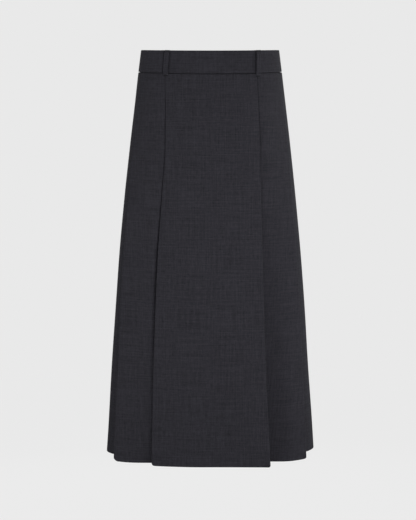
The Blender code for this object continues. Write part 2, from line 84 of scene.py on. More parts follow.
# Heights, some of them read from the frame
BAND_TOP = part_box("waistband")[1].z
WAIST_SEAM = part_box("skirt_back_right")[1].z + 0.15 * MM  # clear of the solid's edge
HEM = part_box("skirt_back_right")[0].z - 0.7 * MM  # soft cloth hangs a little lower
ZIP_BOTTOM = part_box("zip_tape")[0].z
PLEAT_RELEASE = -0.095  # the pleats are sewn down to here
FRONT_DIP = 1.5 * MM  # the waist sits this much lower at the centre front than at the sides
SEAM_DIP = 1.4 * MM  # and the waist seam this much lower again
DIP_ENDS = -0.150
HEM_ROLL = 3.2 * MM  # the hem hangs this much lower at the left side, and higher at the right
ROLL_STARTS = -0.450

Oval = namedtuple("Oval", "height half_width half_depth power")
OVALS = (
    Oval(BAND_TOP, 0.1308, 0.0980, 2.10),
    Oval(WAIST_SEAM, 0.1361, 0.1022, 2.10),
    Oval(PLEAT_RELEASE, 0.1451, 0.1100, 2.12),
    Oval(-0.150, 0.1517, 0.1160, 2.14),
    Oval(-0.250, 0.1634, 0.1245, 2.17),
    Oval(-0.360, 0.1740, 0.1325, 2.20),
    Oval(-0.450, 0.1809, 0.1380, 2.22),
    Oval(-0.600, 0.1912, 0.1470, 2.26),
    Oval(HEM, 0.2013, 0.1545, 2.30),
)

# A knife pleat: the outer fold, the hidden root that the cloth turns back at, the slit beside the fold, and
# where the next panel comes out of it. Places are girths from the centre line. "out" is how far a fold stands
# proud of the oval, and "in" how far inside it the rest lies.
Pleat = namedtuple("Pleat", "height fold out root root_in slit slit_in next next_in")
LAYER_PITCH = 0.85 * MM  # from one layer of a pressed pleat to the next
CENTRE_PLEAT = (
    Pleat(WAIST_SEAM, 0.0895, -0.0002, 0.0650, 0.0022, 0.0892, 0.0018, 0.0930, 0.0010),
    Pleat(PLEAT_RELEASE, 0.0928, -0.0004, 0.0680, 0.0030, 0.0930, 0.0048, 0.0975, 0.0018),
    Pleat(-0.150, 0.0943, 0.0006, 0.0680, 0.0055, 0.0943, 0.0060, 0.1020, 0.0030),
    Pleat(-0.250, 0.0952, 0.0030, 0.0680, 0.0090, 0.0956, 0.0080, 0.1065, 0.0054),
    Pleat(-0.360, 0.0963, 0.0066, 0.0685, 0.0132, 0.0976, 0.0128, 0.1110, 0.0110),
    Pleat(-0.450, 0.0974, 0.0098, 0.0695, 0.0162, 0.0994, 0.0158, 0.1160, 0.0146),
    Pleat(-0.600, 0.1010, 0.0152, 0.0720, 0.0192, 0.1034, 0.0192, 0.1225, 0.0186),
    Pleat(HEM, 0.1070, 0.0200, 0.0750, 0.0218, 0.1094, 0.0218, 0.1260, 0.0212),
)
LEFT_CENTRE_PLEAT = (
    Pleat(WAIST_SEAM, 0.0860, -0.0002, 0.0620, 0.0022, 0.0858, 0.0016, 0.0896, 0.0008),
    Pleat(PLEAT_RELEASE, 0.0848, -0.0007, 0.0610, 0.0030, 0.0850, 0.0044, 0.0884, 0.0010),
    Pleat(-0.150, 0.0846, 0.0003, 0.0600, 0.0060, 0.0850, 0.0050, 0.0884, 0.0012),
    Pleat(-0.250, 0.0908, 0.0010, 0.0645, 0.0095, 0.0914, 0.0070, 0.0955, 0.0016),
    Pleat(-0.360, 0.0990, 0.0018, 0.0700, 0.0120, 0.1022, 0.0084, 0.1066, 0.0026),
    Pleat(-0.450, 0.1028, 0.0024, 0.0725, 0.0135, 0.1072, 0.0096, 0.1140, 0.0036),
    Pleat(-0.600, 0.1076, 0.0032, 0.0750, 0.0135, 0.1120, 0.0090, 0.1215, 0.0060),
    Pleat(HEM, 0.1103, 0.0036, 0.0775, 0.0190, 0.1150, 0.0172, 0.1260, 0.0150),
)
SIDE_PLEAT = (
    Pleat(WAIST_SEAM, 0.1576, -0.0002, 0.1325, 0.0022, 0.1572, 0.0018, 0.1607, 0.0010),
    Pleat(PLEAT_RELEASE, 0.1660, 0.0012, 0.1405, 0.0034, 0.1656, 0.0046, 0.1692, 0.0022),
    Pleat(-0.150, 0.1692, 0.0030, 0.1460, 0.0060, 0.1690, 0.0066, 0.1735, 0.0045),
    Pleat(-0.250, 0.1706, 0.0062, 0.1560, 0.0140, 0.1712, 0.0120, 0.1775, 0.0088),
    Pleat(-0.360, 0.1770, 0.0090, 0.1730, 0.0225, 0.1800, 0.0178, 0.1875, 0.0124),
    Pleat(-0.450, 0.1816, 0.0100, 0.1840, 0.0290, 0.1890, 0.0218, 0.1970, 0.0144),
    Pleat(-0.600, 0.1884, 0.0098, 0.1985, 0.0375, 0.2065, 0.0276, 0.2180, 0.0162),
    Pleat(HEM, 0.1954, 0.0092, 0.2110, 0.0429, 0.2220, 0.0310, 0.2400, 0.0156),
)
Sag = namedtuple("Sag", "height middle_in")
SIDE_FRONT_SAG = (
    Sag(WAIST_SEAM, 0.0003), Sag(PLEAT_RELEASE, 0.0004), Sag(-0.250, 0.0012), Sag(HEM, 0.0012),
)
FOLD_RADIUS_AT_HEM = 1.9 * MM
SIDE_FOLD_RADIUS = 2.2 * MM
SIDE_FOLDS_OPEN = -0.300  # where the side folds have their full roundness
CORNER_RISE = 25 * MM  # height over which a fold's rounded hem corner eases into the straight fold
PANEL_FLATNESS = 2.3  # how long the centre panel stays flat before it comes out to its folds
PANEL_STATIONS = (0.0, 0.35, 0.65, 0.88)  # of the way from the centre line to the fold

# How far from a fold its hem corner starts to round off
Corners = namedtuple("Corners", "centre side")
RIGHT_CORNERS = Corners(4.0 * MM, 6.0 * MM)
LEFT_CORNERS = Corners(6.0 * MM, 11.0 * MM)

# Soft creases: their middle, in quarters of the way round from the centre front (right is positive, the
# centre back is 2), the heights between which they run, how far their middle drifts sideways on the way down,
# and how wide and how proud they are.
Crease = namedtuple("Crease", "place top bottom drift width rise")
CREASES = (
    Crease(-0.20, -0.300, -0.700, -0.030, 0.030, -0.6 * MM),
    Crease(0.14, -0.220, -0.640, 0.040, 0.034, -0.5 * MM),
    Crease(0.02, -0.420, -0.760, -0.020, 0.040, 0.6 * MM),
    Crease(-0.62, -0.200, -0.560, -0.020, 0.018, 0.5 * MM),
    Crease(0.58, -0.260, -0.700, 0.030, 0.022, -0.7 * MM),
    Crease(-0.97, -0.120, -0.420, 0.010, 0.030, -0.5 * MM),
    Crease(1.02, -0.160, -0.520, -0.020, 0.028, -0.5 * MM),
    Crease(1.72, -0.240, -0.690, 0.030, 0.034, -0.7 * MM),
    Crease(-1.80, -0.300, -0.740, -0.020, 0.030, 0.6 * MM),
    Crease(1.40, -0.180, -0.600, 0.020, 0.020, 0.6 * MM),
    Crease(-1.36, -0.230, -0.650, 0.020, 0.022, -0.6 * MM),
)
# Gentle unevenness: waves round the skirt, the height of one wave, its phase and how proud it is
Wave = namedtuple("Wave", "count height phase rise")
WAVES = (
    Wave(7, 0.31, 0.4, 0.30 * MM),
    Wave(11, 0.23, 2.1, 0.22 * MM),
    Wave(17, 0.17, 4.4, 0.12 * MM),
)
RELIEF_STARTS = 0.070  # below the waist seam, where the creases have their whole depth
QUARTER_ROUND = 0.26  # metres in a quarter, near enough for a crease's drift and width

# Steps of a ring, for one quarter of it, and steps between rows
CENTRE_STEPS = (5, 4, 4, 11)
SIDE_FRONT_STEPS = (5, 6, 7, 15)
SIDE_STEPS = (4, 6, 8)
ARC_STEPS, UNDERLAY_STEPS = 7, 10
FOLD_CROWDING = 1.7  # how much closer together points lie towards a fold
OVAL_SAMPLES = 600
ROW_STEP = 5.5 * MM
HEM_ROWS = (0.0, 0.10, 0.35, 0.70, 1.15)  # millimetres above the hem, through its rounded fold
EDGE_MARKS = (0.0, 0.15, 0.40, 0.75, 1.30)  # millimetres from a sewn edge, through its rounded turn
TURNING_END = 1.6 * MM  # height over which the hem's turning ends
ROW_ROOM = 2 * MM  # no plain row comes nearer to the hem turning's edge
INTO_BAND = 1.2 * MM  # how far the panels run up inside the band
OPEN_WALL = 0.02 * MM  # what is left of a wall where it closes

# The waistband
SEAM_SLIT = 0.65 * MM  # the dark line between the waistband and the panels
BAND_CROWN = 0.3 * MM  # how far the band's fold rises over the solid's top
BAND_LOW_STEPS, BAND_FACE_STEPS, BAND_TOP_STEPS, BAND_BACK_STEPS = 5, 16, 11, 12  # round its section
BAND_SEAM_ROUND = 1.25  # how much rounder its sewn edge is than a panel's
BAND_END_SHARES, BAND_EVEN_FROM, BAND_STATIONS = (0.0, 0.004, 0.012), 0.03, 64
BACK_GAP = 0.05 * MM  # half the closed gap at the centre back
SLIDER_GAP = 1.2 * MM  # how much further the band's ends part from the slider up
SLIDER_FOOT, SLIDER_NECK = -3.4 * MM, -1.2 * MM  # from the slider, heights over which they part

# A belt loop: girths of its middle line at the band's top and at the waist seam, how far it runs past the
# seam, and how far its middle lies from the ditch, the line along which the soft band is pressed in beside
# its left edge.
LoopPlace = namedtuple("LoopPlace", "name side end top bottom below_seam to_ditch")
LOOPS = (
    LoopPlace("belt_loop_front_left", LEFT, FRONT, 0.0814, 0.0850, 2.8 * MM, 7.4 * MM),
    LoopPlace("belt_loop_front_right", RIGHT, FRONT, 0.0932, 0.0926, 4.6 * MM, 4.8 * MM),
    LoopPlace("belt_loop_back_left", LEFT, BACK, 0.0930, 0.0930, 4.6 * MM, 4.8 * MM),
    LoopPlace("belt_loop_back_right", RIGHT, BACK, 0.0930, 0.0930, 4.6 * MM, 7.4 * MM),
)

LOOP_GAP = 0.5 * MM  # between the band and a loop's sewn ends
LOOP_BLUNT = 0.12 * MM  # how blunt a loop's cut end is
LOOP_END_STEPS, LOOP_BEND_STEPS, LOOP_MIDDLE_STEPS = 5, 9, 18
SECTION_TURNS, SECTION_ACROSS = 7, 6  # points round an edge of a flat strip, and over its face
DITCH, DITCH_WIDTH, DITCH_STEP = 2.0 * MM, 0.7 * MM, 0.3 * MM  # how deep and wide, and its steps

# Stitches: bar tacks over the loops' ends, running stitches in the ditches, overlocking inside the hem. The
# lower tacks and the ditch stitches, in near-black thread, also paint the shadow lines under and beside the
# belt loops.
TACK_STITCH = {"length": 2.3 * MM, "turn": math.radians(80), "zigzag": 0.3, "unevenness": 0.08}
TACK_INSET, TACK_POINTS = 0.9 * MM, 9
SHADOW_TACK_BELOW = 0.5 * MM  # how far the lower tack lies under a loop's end, where its near-black thread paints the shadow under the end
TACK_ON_CLOTH, TACK_ON_LOOP = 0.1 * MM, 0.02 * MM  # how far the tacks stand off what is under them
# The ditch stitches lie nearly end to end, so that their near-black thread paints a shadow line beside each
# loop's left edge
DITCH_SHADOW_STITCH = {"radius": 0.3 * MM, "turn": 0.0, "zigzag": 0.0, "unevenness": 0.02}
DITCH_SHADOW_FILLED, DITCH_POINTS = 0.95, 30
DITCH_FROM_EDGES = 1.5 * MM  # what its stitches leave free at the band's top and seam
DITCH_RISE = 0.4 * MM  # how far they lie over the ditch's bottom
OVERLOCK_STITCH = {"length": 4.2 * MM, "turn": math.radians(55), "zigzag": 1.0, "unevenness": 0.12}
OVERLOCK_RISE = 0.6 * MM  # how far over the turning's edge its middle lies
OVERLOCK_SUNK = 0.6  # and how far into the turning, of the turning's wall
FIRST_TACK_SEED, FIRST_OVERLOCK_SEED = 1.0, 11.0

# The zip behind the centre back
TAPE_ROWS, TAPE_BELOW_TOP = 60, 1.5 * MM
TAPE_BEHIND_CLOTH, TAPE_BEHIND_BAND = 1.0 * MM, 0.3 * MM
TAPE_STEP = 11 * MM  # height over which it steps in behind the band
COIL_TURNS = {"radius": 0.5 * MM, "turn": math.radians(90), "zigzag": 0.0, "unevenness": 0.0}
COIL_RISE, COIL_BELOW_SLIDER = 0.4 * MM, 4 * MM

# Soft lamps all round, by the side that they shine from: degrees from the front towards the right, and
# degrees up. Far lamps are given by degrees across as seen from the skirt, and watts a square metre.
FarLamp = namedtuple("FarLamp", "name azimuth elevation spread strength")
FAR_LAMPS = (
    FarLamp("left_rim", -85, 5, 40, 0.36),
    FarLamp("left_front_rim", -70, 5, 40, 0.21),
    FarLamp("right_rim", 110, 5, 40, 1.40),
    FarLamp("above", 0, 60, 60, 0.78),
    FarLamp("above_behind", 180, 60, 60, 0.35),
)
# Near lamps are disks, some metres across, that light the skirt's middle more than its ends. Their watts a
# square metre are those at its middle.
NearLamp = namedtuple("NearLamp", "name azimuth elevation size strength")
NEAR_LAMPS = (
    NearLamp("left", -75, 0, 1.4, 0.66),
    NearLamp("left_front", -35, 0, 1.4, 0.48),
    NearLamp("front", 5, 0, 0.55, 0.74),
    NearLamp("front_high", 0, 30, 0.55, 0.215),
    NearLamp("right_front", 20, 0, 0.55, 0.255),
    NearLamp("right_front_high", 20, 15, 0.55, 0.18),
    NearLamp("right", 70, 0, 0.55, 0.89),
    NearLamp("back_left", -160, 0, 0.9, 0.70),
    NearLamp("back_right", 165, 10, 0.9, 0.90),
)
NEAR_DISTANCE = 1.3  # from the skirt's lit middle to every near lamp
LIT_MIDDLE = Vector((0.0, 0.0, -0.36))
BULB_PLACE, BULB_RADIUS = (0.0, 0.0, -0.25), 0.05  # a faint one inside the skirt
FLOOR_RADIUS, FLOOR_SEGMENTS = 9.0, 96
FLOOR_FADE_FROM, FLOOR_FADE_TO = 0.9, 2.4  # distances from the middle over which the shadow fades out
FLOOR_LIT, FLOOR_GLOW = 0.04, 0.985  # shares of the floor's grey that lamps light, and that glow

# The suiting: how fine its slubs are across and down the cloth, in grains a metre, and their share; then the
# grain of its clouds, and the shares of the clouds and of the weave in its tone.
SLUBS = ((15, 400, 1.1), (400, 18, 1.0), (110, 440, 0.8), (440, 110, 0.8), (500, 500, 0.45))
CLOUDS, CLOUD_TONE, WEAVE_TONE = (24, 24, 1), 0.08, 0.06

# The camera: the view's height and the focal length in pixels, and where it stands
VIEW_HEIGHT_PX = 520
FOCAL_PX = 1676.0
SENSOR = 36.0
CAMERA_PLACE = (-0.0040, -3.2, -0.0045)
CAMERA_PITCH = math.radians(6.667)
CAMERA_REACH = 30.0


# ---------------------------------------------------------------- sizes and colours a user would change


def length_field(label, meaning, default):
    return FloatProperty(name=label, description=meaning, default=default, unit="LENGTH")


def colour_field(label, meaning, default):
    return FloatVectorProperty(
        name=label, description=meaning, default=default, subtype="COLOR", min=0, max=1
    )


class ClothSettings(bpy.types.PropertyGroup):
    thickness: length_field("Cloth thickness", "Wall of the suiting", 0.7 * MM)
    edge_round: length_field("Edge round", "Radius of a sewn edge", 1.2 * MM)
    side_seam_depth: length_field("Side seam depth", "How far an upright seam turns in", 0.6 * MM)
    waist_seam_depth: length_field("Waist seam depth", "How far the panels turn in at the band", 3.0 * MM)
    hem_turning: length_field("Hem turning", "Depth of the turned hem", 38 * MM)
    hem_turning_wall: length_field("Hem turning wall", "What the turned hem adds inside", 0.9 * MM)
    band_wall: length_field("Waistband wall", "Both layers and the interlining", 2.5 * MM)
    charcoal: colour_field("Charcoal", "Mean colour of the suiting", (0.0290, 0.0280, 0.0350))
    melange: FloatProperty(
        name="Melange", description="How far threads differ in tone", default=0.68, min=0, max=3
    )
    thread_pitch: length_field("Thread pitch", "From one yarn to the next", 0.55 * MM)


class LoopSettings(bpy.types.PropertyGroup):
    width: length_field("Loop width", "Across a belt loop", 10 * MM)
    wall: length_field("Loop wall", "Folded layers of a loop", 1.5 * MM)
    clearance: length_field("Belt room", "Between a loop and the band", 1.8 * MM)
    lean: length_field("Lean", "How far a loop's left edge lifts and its right edge sinks", 0.9 * MM)
    above_band: length_field("Above the band", "How far a loop's end stands over the band", 0.8 * MM)
    foot: length_field("Foot", "Length sewn down at each end", 4 * MM)
    bend: length_field("Bend", "Length over which the loop lifts", 3.2 * MM)


class SewingSettings(bpy.types.PropertyGroup):
    thread_radius: length_field("Thread radius", "Half a sewing thread", 0.16 * MM)
    # Near-black and darker than the cloth: it colours the threads, and at the belt loops it also paints the
    # shadow lines under and beside them
    thread_and_painted_shade_colour: colour_field("Thread colour", "Sewing thread", (0.009, 0.009, 0.011))
    tack_pitch: length_field("Tack pitch", "Between the stitches of a bar tack", 0.30 * MM)
    ditch_pitch: length_field("Ditch stitch", "Between the stitches beside a belt loop", 2.5 * MM)
    hem_pitch: length_field("Overlock pitch", "Between overlock stitches", 2.6 * MM)


class ZipSettings(bpy.types.PropertyGroup):
    tape_width: length_field("Tape width", "Both tapes", 24 * MM)
    tape_wall: length_field("Tape wall", "Woven tape", 0.6 * MM)
    coil_pitch: length_field("Coil pitch", "Between turns of the coil", 1.3 * MM)
    coil_width: length_field("Coil width", "Across the coil", 4.0 * MM)
    slider_height: length_field("Slider height", "Where the slider stands", 0.0165)
    tape_colour: colour_field("Tape colour", "Zip tape", (0.014, 0.014, 0.016))
    metal_colour: colour_field("Metal colour", "Slider and pull", (0.05, 0.05, 0.053))


class StageSettings(bpy.types.PropertyGroup):
    floor_height: length_field("Floor height", "Floor under a wearer's waist", -1.04)
    pale: colour_field("Pale grey", "Floor and surroundings", (0.815, 0.815, 0.815))
    inside: FloatProperty(
        name="Inside", description="Faint light inside the skirt", default=0.5, unit="POWER"
    )
    light: FloatProperty(name="Light", description="Strength of all the lamps together", default=0.965)


# ---------------------------------------------------------------- node trees


class Wire:
    """An output socket, on which sums are written as plain expressions."""

    def __init__(self, tree, socket):
        self.tree, self.socket = tree, socket

    def math(self, operation, *values):
        return self.tree.math(operation, self, *values)

    def __add__(self, other):
        return self.math("ADD", other)

    def __sub__(self, other):
        return self.math("SUBTRACT", other)

    def __rsub__(self, other):
        return self.tree.math("SUBTRACT", other, self)

    def __mul__(self, other):
        return self.math("MULTIPLY", other)

    __radd__ = __add__
    __rmul__ = __mul__


class Tree:
    """A node tree that is written node by node."""

    def __init__(self, nodes):
        self.nodes, self.links = nodes.nodes, nodes.links

    def node(self, kind, settings=None, sockets=None):
        """A node with its settings, and then its sockets' values or wires."""
        made = self.nodes.new(kind)
        for name, value in (settings or {}).items():
            setattr(made, name, value)
        for name, value in (sockets or {}).items():
            if isinstance(value, Wire):
                self.links.new(value.socket, made.inputs[name])
            else:
                made.inputs[name].default_value = value
        return made

    def wire(self, kind, settings=None, sockets=None, output=0):
        return Wire(self, self.node(kind, settings, sockets).outputs[output])

    def math(self, operation, *values):
        return self.wire("ShaderNodeMath", {"operation": operation}, dict(enumerate(values)))


class Finish(Tree):
    """A material round one Principled BSDF."""

    def __init__(self, name, constants):
        self.material = bpy.data.materials.new(name)
        self.material.use_nodes = True
        super().__init__(self.material.node_tree)
        self.shader = self.nodes["Principled BSDF"]
        for socket, value in constants.items():
            self.shader.inputs[socket].default_value = value

    def feed(self, socket, wire):
        self.links.new(wire.socket, self.shader.inputs[socket])

    def cloth_place(self):
        """The place on the flat cloth in metres, and how far across and down the cloth that is."""
        place = self.wire("ShaderNodeUVMap", {"uv_map": "cloth"})
        split = self.node("ShaderNodeSeparateXYZ", None, {"Vector": place})
        return place, Wire(self, split.outputs[0]), Wire(self, split.outputs[1])

    def object_place(self):
        return self.wire("ShaderNodeTexCoord", None, None, "Object")

    def stretched_noise(self, place, scale, detail=2.0):
        """Noise from 0 to 1 whose grain is 1 / scale metres long on each axis."""
        vector = self.wire("ShaderNodeMapping", None, {"Vector": place, "Scale": scale})
        return self.wire("ShaderNodeTexNoise", None, {"Vector": vector, "Scale": 1.0, "Detail": detail})

    def tinted(self, colour, tone):
        """The colour times a tone that varies about 1."""
        grey = self.wire("ShaderNodeCombineXYZ", None, {0: tone, 1: tone, 2: tone})
        return self.wire("ShaderNodeVectorMath", {"operation": "MULTIPLY"}, {0: grey, 1: tuple(colour)})

    def bump(self, height, distance, strength=1.0):
        self.feed("Normal", self.wire(
            "ShaderNodeBump", None, {"Height": height, "Distance": distance, "Strength": strength}
        ))


def suiting(cloth):
    """Charcoal wool suiting: plain weave, with slubs both ways in slightly different tones."""
    finish = Finish("charcoal_suiting", {
        "Roughness": 0.85, "Sheen Weight": 0.03, "Sheen Roughness": 0.4, "Specular IOR Level": 0.15,
    })
    place, across, down = finish.cloth_place()
    streaks = [
        (finish.stretched_noise(place, (*grain, 1)) - 0.5) * share for *grain, share in SLUBS
    ]
    uneven = sum(streaks[1:], streaks[0])
    cloudy = finish.stretched_noise(place, CLOUDS, 3.0) - 0.5
    turn = math.pi / cloth.thread_pitch
    weave = (across * turn).math("SINE") * (down * turn).math("SINE")
    tone = uneven * cloth.melange + cloudy * CLOUD_TONE + weave * WEAVE_TONE + 1.0
    finish.feed("Base Color", finish.tinted(cloth.charcoal, tone))
    finish.feed("Roughness", cloudy * 0.12 + 0.86)
    finish.bump(weave * 0.5 + uneven * 1.2, 0.12 * MM, 0.8)
    return finish.material


def thread_finish(sewing):
    """Twisted sewing thread, a little glossier than the cloth. Its near-black colour also paints the shadow
    lines under and beside the belt loops.
    """
    finish = Finish("sewing_thread_and_painted_shade", {"Roughness": 0.7, "Sheen Weight": 0.03, "Specular IOR Level": 0.2})
    place = finish.object_place()
    twist = finish.stretched_noise(place, (1800, 1800, 2600))
    # the near-black thread colour, which at the belt loops also paints shadow lines
    finish.feed("Base Color", finish.tinted(sewing.thread_and_painted_shade_colour, twist * 0.8 + 0.6))
    finish.bump(twist, 0.04 * MM)
    return finish.material


def tape_finish(zipper):
    """Woven polyester tape with a herringbone of fine ribs."""
    finish = Finish("zip_tape_weave", {"Roughness": 0.7, "Sheen Weight": 0.1})
    _, across, down = finish.cloth_place()
    slant = (across * 700).math("PINGPONG", 1.0)
    ribs = (down * 5600 + slant * 3.0).math("SINE")
    finish.feed("Base Color", finish.tinted(zipper.tape_colour, ribs * 0.15 + 1.0))
    finish.bump(ribs, 0.08 * MM)
    return finish.material


def metal_finish(zipper):
    """Dark lacquered zinc with faint casting grain and rubbed places."""
    finish = Finish("dark_zip_metal", {"Metallic": 1.0, "Coat Weight": 0.3, "Coat Roughness": 0.25})
    place = finish.object_place()
    grain = finish.stretched_noise(place, (900, 900, 900), 4.0)
    rubbed = finish.stretched_noise(place, (160, 160, 160))
    finish.feed("Base Color", finish.tinted(zipper.metal_colour, rubbed * 0.8 + 0.6))
    finish.feed("Roughness", grain * 0.18 + 0.26)
    finish.bump(grain, 0.02 * MM, 0.5)
    return finish.material


class Growth(Tree):
    """A Geometry Nodes tree with named inputs, which ends in real geometry in one material."""

    def __init__(self, name, labels):
        self.group = bpy.data.node_groups.new(name, "GeometryNodeTree")
        super().__init__(self.group)
        panel = self.group.interface
        panel.new_socket("Geometry", in_out="INPUT", socket_type="NodeSocketGeometry")
        panel.new_socket("Geometry", in_out="OUTPUT", socket_type="NodeSocketGeometry")
        self.ids = {}
        for label in labels:
            socket = panel.new_socket(label, in_out="INPUT", socket_type="NodeSocketFloat")
            self.ids[label] = socket.identifier
        self.entry = self.node("NodeGroupInput")

    def value(self, label):
        return Wire(self, self.entry.outputs[label])

    def end(self, geometry, material):
        self.material = material
        real = self.wire("GeometryNodeRealizeInstances", None, {0: geometry})
        painted = self.wire("GeometryNodeSetMaterial", None, {0: real, "Material": material})
        self.node("NodeGroupOutput", None, {0: painted})

    def grow(self, name, line, facings, **values):
        """What the tree makes on a line of points with their facings, as a plain mesh object."""
        path = carrier(line, facings)
        change = path.modifiers.new("growth", "NODES")
        change.node_group = self.group
        for label, value in values.items():
            change[self.ids[label.capitalize()]] = value
        ready = path.evaluated_get(bpy.context.evaluated_depsgraph_get())
        mesh = bpy.data.meshes.new_from_object(ready)
        bpy.data.objects.remove(path)
        mesh.name = name
        mesh.materials.clear()
        mesh.polygons.foreach_set("material_index", np.zeros(len(mesh.polygons), np.int32))
        return show(name, mesh, self.material)


def stitch_growth(material):
    """Short lengths of thread along a path, turned from it, every other one the other way if they zigzag."""
    tree = Growth("stitches", ("Pitch", "Length", "Radius", "Turn", "Zigzag", "Unevenness", "Seed"))
    path = tree.wire("GeometryNodeMeshToCurve", None, {0: tree.value("Geometry")})
    spots = tree.wire(
        "GeometryNodeResampleCurve", {"mode": "LENGTH"}, {0: path, "Length": tree.value("Pitch")}
    )
    facing = tree.wire(
        "GeometryNodeInputNamedAttribute", {"data_type": "FLOAT_VECTOR"}, {"Name": "facing"}
    )
    upright = tree.wire("FunctionNodeAlignRotationToVector", {"axis": "Z"}, {"Vector": facing})
    along = tree.wire(
        "FunctionNodeAlignRotationToVector", {"axis": "X", "pivot_axis": "Z"},
        {"Rotation": upright, "Vector": tree.wire("GeometryNodeInputTangent")},
    )
    index = tree.wire("GeometryNodeInputIndex")
    sign = 1.0 - tree.value("Zigzag") * index.math("MODULO", 2.0) * 2.0
    chance = tree.node(
        "FunctionNodeRandomValue", {"data_type": "FLOAT"}, {2: -1.0, 3: 1.0, "Seed": tree.value("Seed")}
    )
    jitter = Wire(tree, chance.outputs[1]) * tree.value("Unevenness")
    turn = tree.wire(
        "FunctionNodeAxisAngleToRotation", None,
        {"Axis": (0.0, 0.0, 1.0), "Angle": tree.value("Turn") * sign + jitter},
    )
    turned = tree.wire(
        "FunctionNodeRotateRotation", {"rotation_space": "LOCAL"}, {"Rotation": along, "Rotate By": turn}
    )
    thread = tree.wire("GeometryNodeMeshUVSphere", None, {"Segments": 6, "Rings": 5, "Radius": 1.0})
    radius = tree.value("Radius")
    size = tree.wire("ShaderNodeCombineXYZ", None, {0: tree.value("Length") * 0.5, 1: radius, 2: radius})
    stitches = tree.wire(
        "GeometryNodeInstanceOnPoints", None,
        {"Points": spots, "Instance": thread, "Rotation": turned, "Scale": size},
    )
    tree.end(stitches, material)
    return tree


# ---------------------------------------------------------------- tables and rings


def hermite(start, end, start_slope, end_slope, width, t):
    """A cubic from one value to the next, with these slopes at its ends."""
    return (
        start * (1 + 2 * t) * (1 - t) ** 2
        + end * t * t * (3 - 2 * t)
        + start_slope * width * t * (1 - t) ** 2
        - end_slope * width * t * t * (1 - t)
    )


def column(rows, name, height):
    """The value of a table's column at a height: a smooth curve through the rows that never overshoots."""
    rows = sorted(rows, key=lambda row: row.height)
    xs = np.array([row.height for row in rows])
    ys = np.array([getattr(row, name) for row in rows])
    rises = np.diff(ys) / np.diff(xs)
    slopes = np.zeros(len(xs))
    slopes[0], slopes[-1] = rises[0], rises[-1]
    for k in range(1, len(xs) - 1):
        if rises[k - 1] * rises[k] > 0:
            slopes[k] = 2 / (1 / rises[k - 1] + 1 / rises[k])
    height = min(max(height, xs[0]), xs[-1])
    k = min(np.searchsorted(xs, height, side="right") - 1, len(xs) - 2)
    width = xs[k + 1] - xs[k]
    return hermite(ys[k], ys[k + 1], slopes[k], slopes[k + 1], width, (height - xs[k]) / width)


def distances_along(points):
    """How far along a line each of its points lies."""
    return np.concatenate([[0.0], np.cumsum(np.linalg.norm(np.diff(points, axis=0), axis=1))])


def eased(start, end, value):
    """0 at start, 1 at end, with a soft change between."""
    t = np.clip((value - start) / (end - start), 0.0, 1.0)
    return t * t * (3 - 2 * t)


def relief(place, height):
    """How far the creases and the gentle unevenness move the cloth out, at quarters round and a height."""
    out = np.zeros_like(place)
    for crease in CREASES:
        share = (crease.top - height) / (crease.top - crease.bottom)
        if 0 < share < 1:
            middle = crease.place + crease.drift * share / QUARTER_ROUND
            away = ((place - middle + 2) % 4 - 2) * QUARTER_ROUND
            out += crease.rise * math.sin(math.pi * share) ** 2 * np.exp(-((away / crease.width) ** 2))
    for wave in WAVES:
        down = math.sin(2 * math.pi * height / wave.height + wave.phase)
        out += wave.rise * np.sin(math.pi / 2 * wave.count * place + wave.phase) * down
    return out * eased(WAIST_SEAM, WAIST_SEAM - RELIEF_STARTS, height)


class Ring:
    """The oval at one height."""

    def __init__(self, height, inset=0.0):
        self.height = height
        self.half_width = column(OVALS, "half_width", height) - inset
        self.half_depth = column(OVALS, "half_depth", height) - inset
        power = column(OVALS, "power", height)
        turn = np.linspace(0, math.pi / 2, OVAL_SAMPLES)
        x = np.sin(turn) ** (2 / power)
        y = np.cos(turn) ** (2 / power)
        y[-1] = 0.0
        self.x, self.y = self.half_width * x, self.half_depth * y
        steps = np.hypot(np.diff(self.x), np.diff(self.y))
        self.along = np.concatenate([[0.0], np.cumsum(steps)])
        self.length = self.along[-1]
        normal_x = x ** (power - 1) / self.half_width
        normal_y = y ** (power - 1) / self.half_depth
        size = np.hypot(normal_x, normal_y)
        self.normal_x, self.normal_y = normal_x / size, normal_y / size

    def place(self, along, out, side, end):
        """The points this far round from the centre line and this far outside the oval."""
        reach = np.clip(along, 0.0, self.length)
        x, y, normal_x, normal_y = (
            np.interp(reach, self.along, values)
            for values in (self.x, self.y, self.normal_x, self.normal_y)
        )
        share = reach / self.length
        out = out + relief(side * (share if end == FRONT else 2 - share), self.height)
        x, y = side * (x + out * normal_x), end * (y + out * normal_y)
        seam_dip = SEAM_DIP * (1 - eased(WAIST_SEAM, BAND_TOP, self.height))
        drop = (FRONT_DIP + seam_dip) * eased(DIP_ENDS, WAIST_SEAM, self.height)
        dip = -drop * np.minimum(y / self.half_depth, 0.0) ** 2
        roll = HEM_ROLL * (x / self.half_width) ** 3 * eased(ROLL_STARTS, HEM, self.height)
        return np.stack([x, y, self.height + dip + roll], axis=-1)


def shared_tangent(first, second):
    """Where a taut thread leaves one peg and meets the next. A peg is (centre, signed radius)."""
    (start, start_radius), (end, end_radius) = first, second
    run = end - start
    length = np.linalg.norm(run)
    lean = (start_radius - end_radius) / length
    forward = run / length
    normal = lean * forward + math.sqrt(1 - lean * lean) * np.array((-forward[1], forward[0]))
    return start + normal * start_radius, end + normal * end_radius, normal


